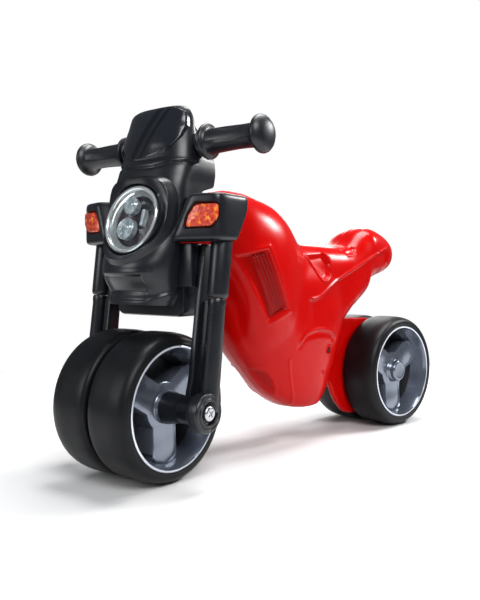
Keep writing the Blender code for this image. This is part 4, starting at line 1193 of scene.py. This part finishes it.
def screen_point(s, t):
    """The screen's surface at s across, -1 to 1, and t up, 0 to 1; pillowed at its edges."""
    foot = 0.4035 + 0.030 * abs(s) ** 2.6
    head = 0.4758 - 0.012 * abs(s) ** 5
    z = foot + (head - foot) * t
    half = station_values(z)[1]
    wing = smoothstep((z - 0.432) / 0.016)
    x = s * half * (0.90 + 0.085 * wing)
    border = min((1 - abs(s)) * half, z - foot, head - z + 0.0004)
    lift = -0.0006 + 0.0036 * smoothstep(border / 0.0032)
    return x * (1 + lift / half), cowl_y(x, z) - lift, z + lift * 0.3


def make_windscreen():
    """Curved screen laid on the head; its foot sweeps up at the sides."""
    rows = [[screen_point(s, t) for s in np.linspace(-1, 1, 90)] for t in np.linspace(0, 1, 60)]
    skin = facing_front(grid_mesh("screen", rows, around=False, caps=False))
    piece("screen", walled(skin, 0.0012), "screen_plastic", "steering", FRONT, "windscreen", angle=50)


def lamp_piece(name, profile, slot, node, segments=96, offset=(0, 0), angle=35):
    """A piece turned about the lamp's axis, or about one that is offset from it."""
    matrix = FRONT @ LAMP_TURN @ Matrix.Translation((*offset, 0)) @ Matrix.Rotation(-math.pi / 2, 4, "Y")
    piece(name, turned_mesh(name, profile, segments), slot, "steering", matrix, node, angle)


def make_lamp_rings():
    """Bezel, bright ring, bowl and the reflector's edge."""
    seat = RING_R + 0.0003
    bezel = [(seat, 0.0030), (RING_R + 0.0010, 0.0046), (LAMP_R - 0.0007, 0.0046), (LAMP_R, 0.0034),
             (LAMP_R, -0.0068), (seat, -0.0068)]
    inner = BOWL_R + 0.0003
    outer = RING_R + 0.0001
    ring = [(inner, 0.0006), (inner, 0.0034), (inner + 0.0005, 0.0046), (inner + 0.0016, 0.0054),
            (RING_R - 0.0010, 0.0054), (RING_R, 0.0046), (outer, 0.0030), (outer, 0.0006)]
    bowl = [(0, -0.0110), (0.0180, -0.0110), (0.0225, -0.0100), (0.0310, -0.0062), (0.0335, -0.0052),
            (0.0335, -0.0100), (0.0200, -0.0140), (0, -0.0140)]
    reflector = [(0.0337, -0.0050), (0.0350, -0.0020), (BOWL_R, 0.0004), (RING_R, 0.0002), (RING_R, -0.0075),
                 (0.0337, -0.0080)]
    lamp_piece("lamp_bezel", rounded(bezel, 0.0006, 2), "black_plastic", "headlamp_bezel")
    lamp_piece("lamp_ring", ring, "chrome", "headlamp_ring")
    lamp_piece("lamp_bowl", bowl, "lamp_dark", "headlamp_bowl")
    lamp_piece("lamp_reflector", reflector, "chrome", "headlamp_bowl")


def make_lamp_optics():
    """Two round lamps, the light bar and the lens over them."""
    for name, radius, offset in (("upper", 0.0118, (-0.0125, 0.0215)), ("lower", 0.0145, (-0.0138, -0.0095))):
        lamp = [(0, 0.0000), (radius * 0.25, -0.0001), (radius * 0.34, -0.0020), (radius * 0.52, -0.0023),
                (radius * 0.62, 0.0000), (radius * 0.74, 0.0006), (radius * 0.84, -0.0010),
                (radius * 0.90, -0.0006), (radius, -0.0020), (radius, -0.0100), (0, -0.0100)]
        lamp_piece("lamp_" + name, lamp, "lamp_glass", "headlamp_" + name + "_lamp", 64, offset, 30)
    bar = softened(grid_mesh("bar", box((0.0105, -0.0065, -0.0100), (0.0155, 0.0150, -0.0015))), 0.0010, 3)
    piece("lamp_bar", bar, "lamp_glass", "steering", FRONT @ LAMP_TURN, "headlamp_light_bar")
    dome = [(r, 0.0018 + 0.0030 * (1 - (r / BOWL_R) ** 2)) for r in np.linspace(0, BOWL_R, 14)]
    back = [(r, x - 0.0011) for r, x in reversed(dome)]
    lamp_piece("lamp_lens", dome + back, "clear_lens", "headlamp_lens", angle=60)


# ---------------------------------------------------------------- indicators

LENS_TURN = Matrix.Rotation(math.radians(15.5), 4, "Z") @ Matrix.Rotation(math.pi / 2, 4, "X")
LENS_SEAT = Matrix.Translation((0.0975, 0.0036, 0.3290)) @ LENS_TURN
# The left pod seen from above.
POD_OUTLINE = [(0.046, -0.0106), (0.1150, 0.0085), (0.1195, 0.0112), (0.1218, 0.0160), (0.1228, 0.0260),
               (0.1232, 0.0400), (0.1234, 0.0560), (0.1225, 0.0660),
               (0.1180, 0.0718), (0.1080, 0.0730), (0.0960, 0.0725), (0.0900, 0.0660), (0.0870, 0.0500),
               (0.0855, 0.0380), (0.070, 0.0330), (0.046, 0.0300)]
# The left lens in its own plane.
LENS_CORNERS = [(-0.0205, -0.0135), (0.0130, -0.0128), (0.0222, -0.0030), (0.0226, 0.0138), (-0.0070, 0.0136),
                (-0.0165, 0.0010)]


def lens_outline(grow):
    """The indicator lens's outline in its own plane, corners rounded, grown outwards."""
    points = [Vector(corner) for corner in LENS_CORNERS]
    points = [point + point.normalized() * grow * 1.3 for point in points]
    result = []
    for before, corner, after in zip(points[-1:] + points, points, points[1:] + points[:1]):
        result += corner_arc(before, corner, after, 0.0042, 5)
    return result


def lens_mesh(name, levels):
    """The lens's outline stacked at (grow, height, share of full size) levels into a closed solid."""
    rows = [[(x * share, y * share, height) for x, y in lens_outline(grow)] for grow, height, share in levels]
    return grid_mesh(name, rows)


def trimmed(mesh, point, normal):
    """The mesh without what lies beyond the plane through point, on its normal's side."""
    reach = 0.1
    normal = Vector(normal).normalized()
    turn = Vector((0, 0, 1)).rotation_difference(normal).to_matrix().to_4x4()
    tool = grid_mesh("trim", box([-reach] * 3, [reach] * 3))
    tool.transform(Matrix.Translation(Vector(point) + normal * reach) @ turn)
    return boolean(mesh, tool)


def pod_mesh():
    """The left pod: its face's inner edge slants outwards going up and falls back to the cowl."""
    rows = [[(x, y, z) for x, y in POD_OUTLINE] for z in (0.2985, 0.3570)]
    mesh = trimmed(grid_mesh("pod", rows), (0.0815, -0.0008, 0.3488), (-0.615, -0.707, 0.350))
    mesh = trimmed(mesh, (0.1200, 0.0673, 0.3330), (0, 0.866, -0.500))
    recess = lens_mesh("recess", [(0.0008, -0.0042, 1), (0.0036, 0.0002, 1), (0.0075, 0.0090, 1)])
    recess.transform(LENS_SEAT)
    bore_r = TUBE_R + 0.0006
    bore = tube_mesh("bore", tube_point(0.280), tube_point(TUBE_TOP_Z + 0.0004), [(bore_r, 0), (bore_r, 1)])
    return boolean(boolean(melted(mesh, 0.0013, 130), recess), bore)


def make_indicators():
    levels = [(0.0, -0.0040, 1), (0.0, -0.0006, 1), (-0.0007, 0.0004, 1), (-0.0016, 0.0008, 1),
              (-0.0016, 0.0014, 0.7), (-0.0016, 0.0018, 0.35), (-0.0016, 0.0019, 0.08)]
    for name, matrix in FRONT_SIDES:
        piece("pod_" + name, pod_mesh(), "black_plastic", "steering", matrix, "indicator_pod_" + name,
              angle=40)
        piece("amber_" + name, lens_mesh("amber", levels), "amber_lens", "steering", matrix @ LENS_SEAT,
              "indicator_lens_" + name, angle=60)


# ---------------------------------------------------------------- studio

def aim(obj, direction):
    """Turn a camera or light to look along a direction, its top up."""
    obj.rotation_euler = direction.to_track_quat("-Z", "Y").to_euler()


def make_camera():
    """The main view: from the rider's left front, a little above half height."""
    yaw = 0.8122
    pitch = -0.0123
    data = bpy.data.cameras.new("camera")
    data.sensor_fit = "VERTICAL"
    data.sensor_height = 36
    data.lens = 40.4556
    data.shift_x = -0.00507
    data.shift_y = -0.02118
    camera = make_object("camera", data)
    camera.location = BODY @ Vector((0.7217, -0.4983, 0.2522))
    aim(camera, Vector((-math.sin(yaw) * math.cos(pitch), math.cos(yaw) * math.cos(pitch), math.sin(pitch))))
    bpy.context.scene.camera = camera


def area_light(name, location, target, size, energy):
    data = bpy.data.lights.new(name, "AREA")
    data.shape = "RECTANGLE"
    data.size = size[0]
    data.size_y = size[1]
    data.energy = energy
    light = make_object(name, data)
    light.location = location
    aim(light, Vector(target) - Vector(location))


def make_world():
    """A white surround for the camera and a dim, cool one for the light that it gives."""
    world = bpy.data.worlds.new("studio")
    bpy.context.scene.world = world
    world.use_nodes = True
    tree = world.node_tree
    dim = tree.nodes["Background"]
    dim.inputs["Color"].default_value = (0.86, 0.92, 1.0, 1)
    dim.inputs["Strength"].default_value = 0.16
    white = tree.nodes.new("ShaderNodeBackground")
    white.inputs["Color"].default_value = (1, 1, 1, 1)
    white.inputs["Strength"].default_value = 1.0
    path = tree.nodes.new("ShaderNodeLightPath")
    either = tree.nodes.new("ShaderNodeMixShader")
    tree.links.new(path.outputs["Is Camera Ray"], either.inputs["Fac"])
    tree.links.new(dim.outputs["Background"], either.inputs[1])
    tree.links.new(white.outputs["Background"], either.inputs[2])
    tree.links.new(either.outputs["Shader"], tree.nodes["World Output"].inputs["Surface"])


def make_floor():
    """A round white table top, lit until it melts into the surround."""
    radius = 1.05
    bm = bmesh.new()
    bmesh.ops.create_circle(bm, cap_ends=True, segments=96, radius=radius)
    floor = make_object("floor", to_mesh(bm, "floor"))
    floor.location.z = cad_low.z - 0.0002
    nodes = Nodes("floor_paper", (0.74, 0.74, 0.74), 0.9)
    nodes.bump(nodes.noise(40, 3), 0.02, 0.001)
    nodes.set(Specular_IOR_Level=0.1)
    floor.data.materials.append(nodes.material)


def make_studio():
    make_world()
    make_floor()
    middle = (0, 0, 0.2)
    area_light("key", (1.5, -0.9, 1.5), middle, (1.1, 0.8), 30)
    area_light("front", (-0.5, -2.0, 0.9), middle, (0.8, 1.0), 11)
    area_light("top", (0.0, 0.35, 2.0), middle, (0.7, 1.2), 48)
    area_light("back", (-1.5, 1.5, 1.3), middle, (1.2, 1.0), 18)
    tank_shoulder = (0.058, -0.069, 0.332)
    area_light("shoulder", (0.60, 1.26, 1.08), tank_shoulder, (0.34, 0.30), 17)
    bpy.context.scene.view_settings.view_transform = "Standard"


dress_frame()
make_body()
make_wheels()
make_rear_caps()
make_fork()
make_handlebar()
make_cowl()
make_surround()
make_windscreen()
make_lamp_rings()
make_lamp_optics()
make_indicators()
make_camera()
make_studio()
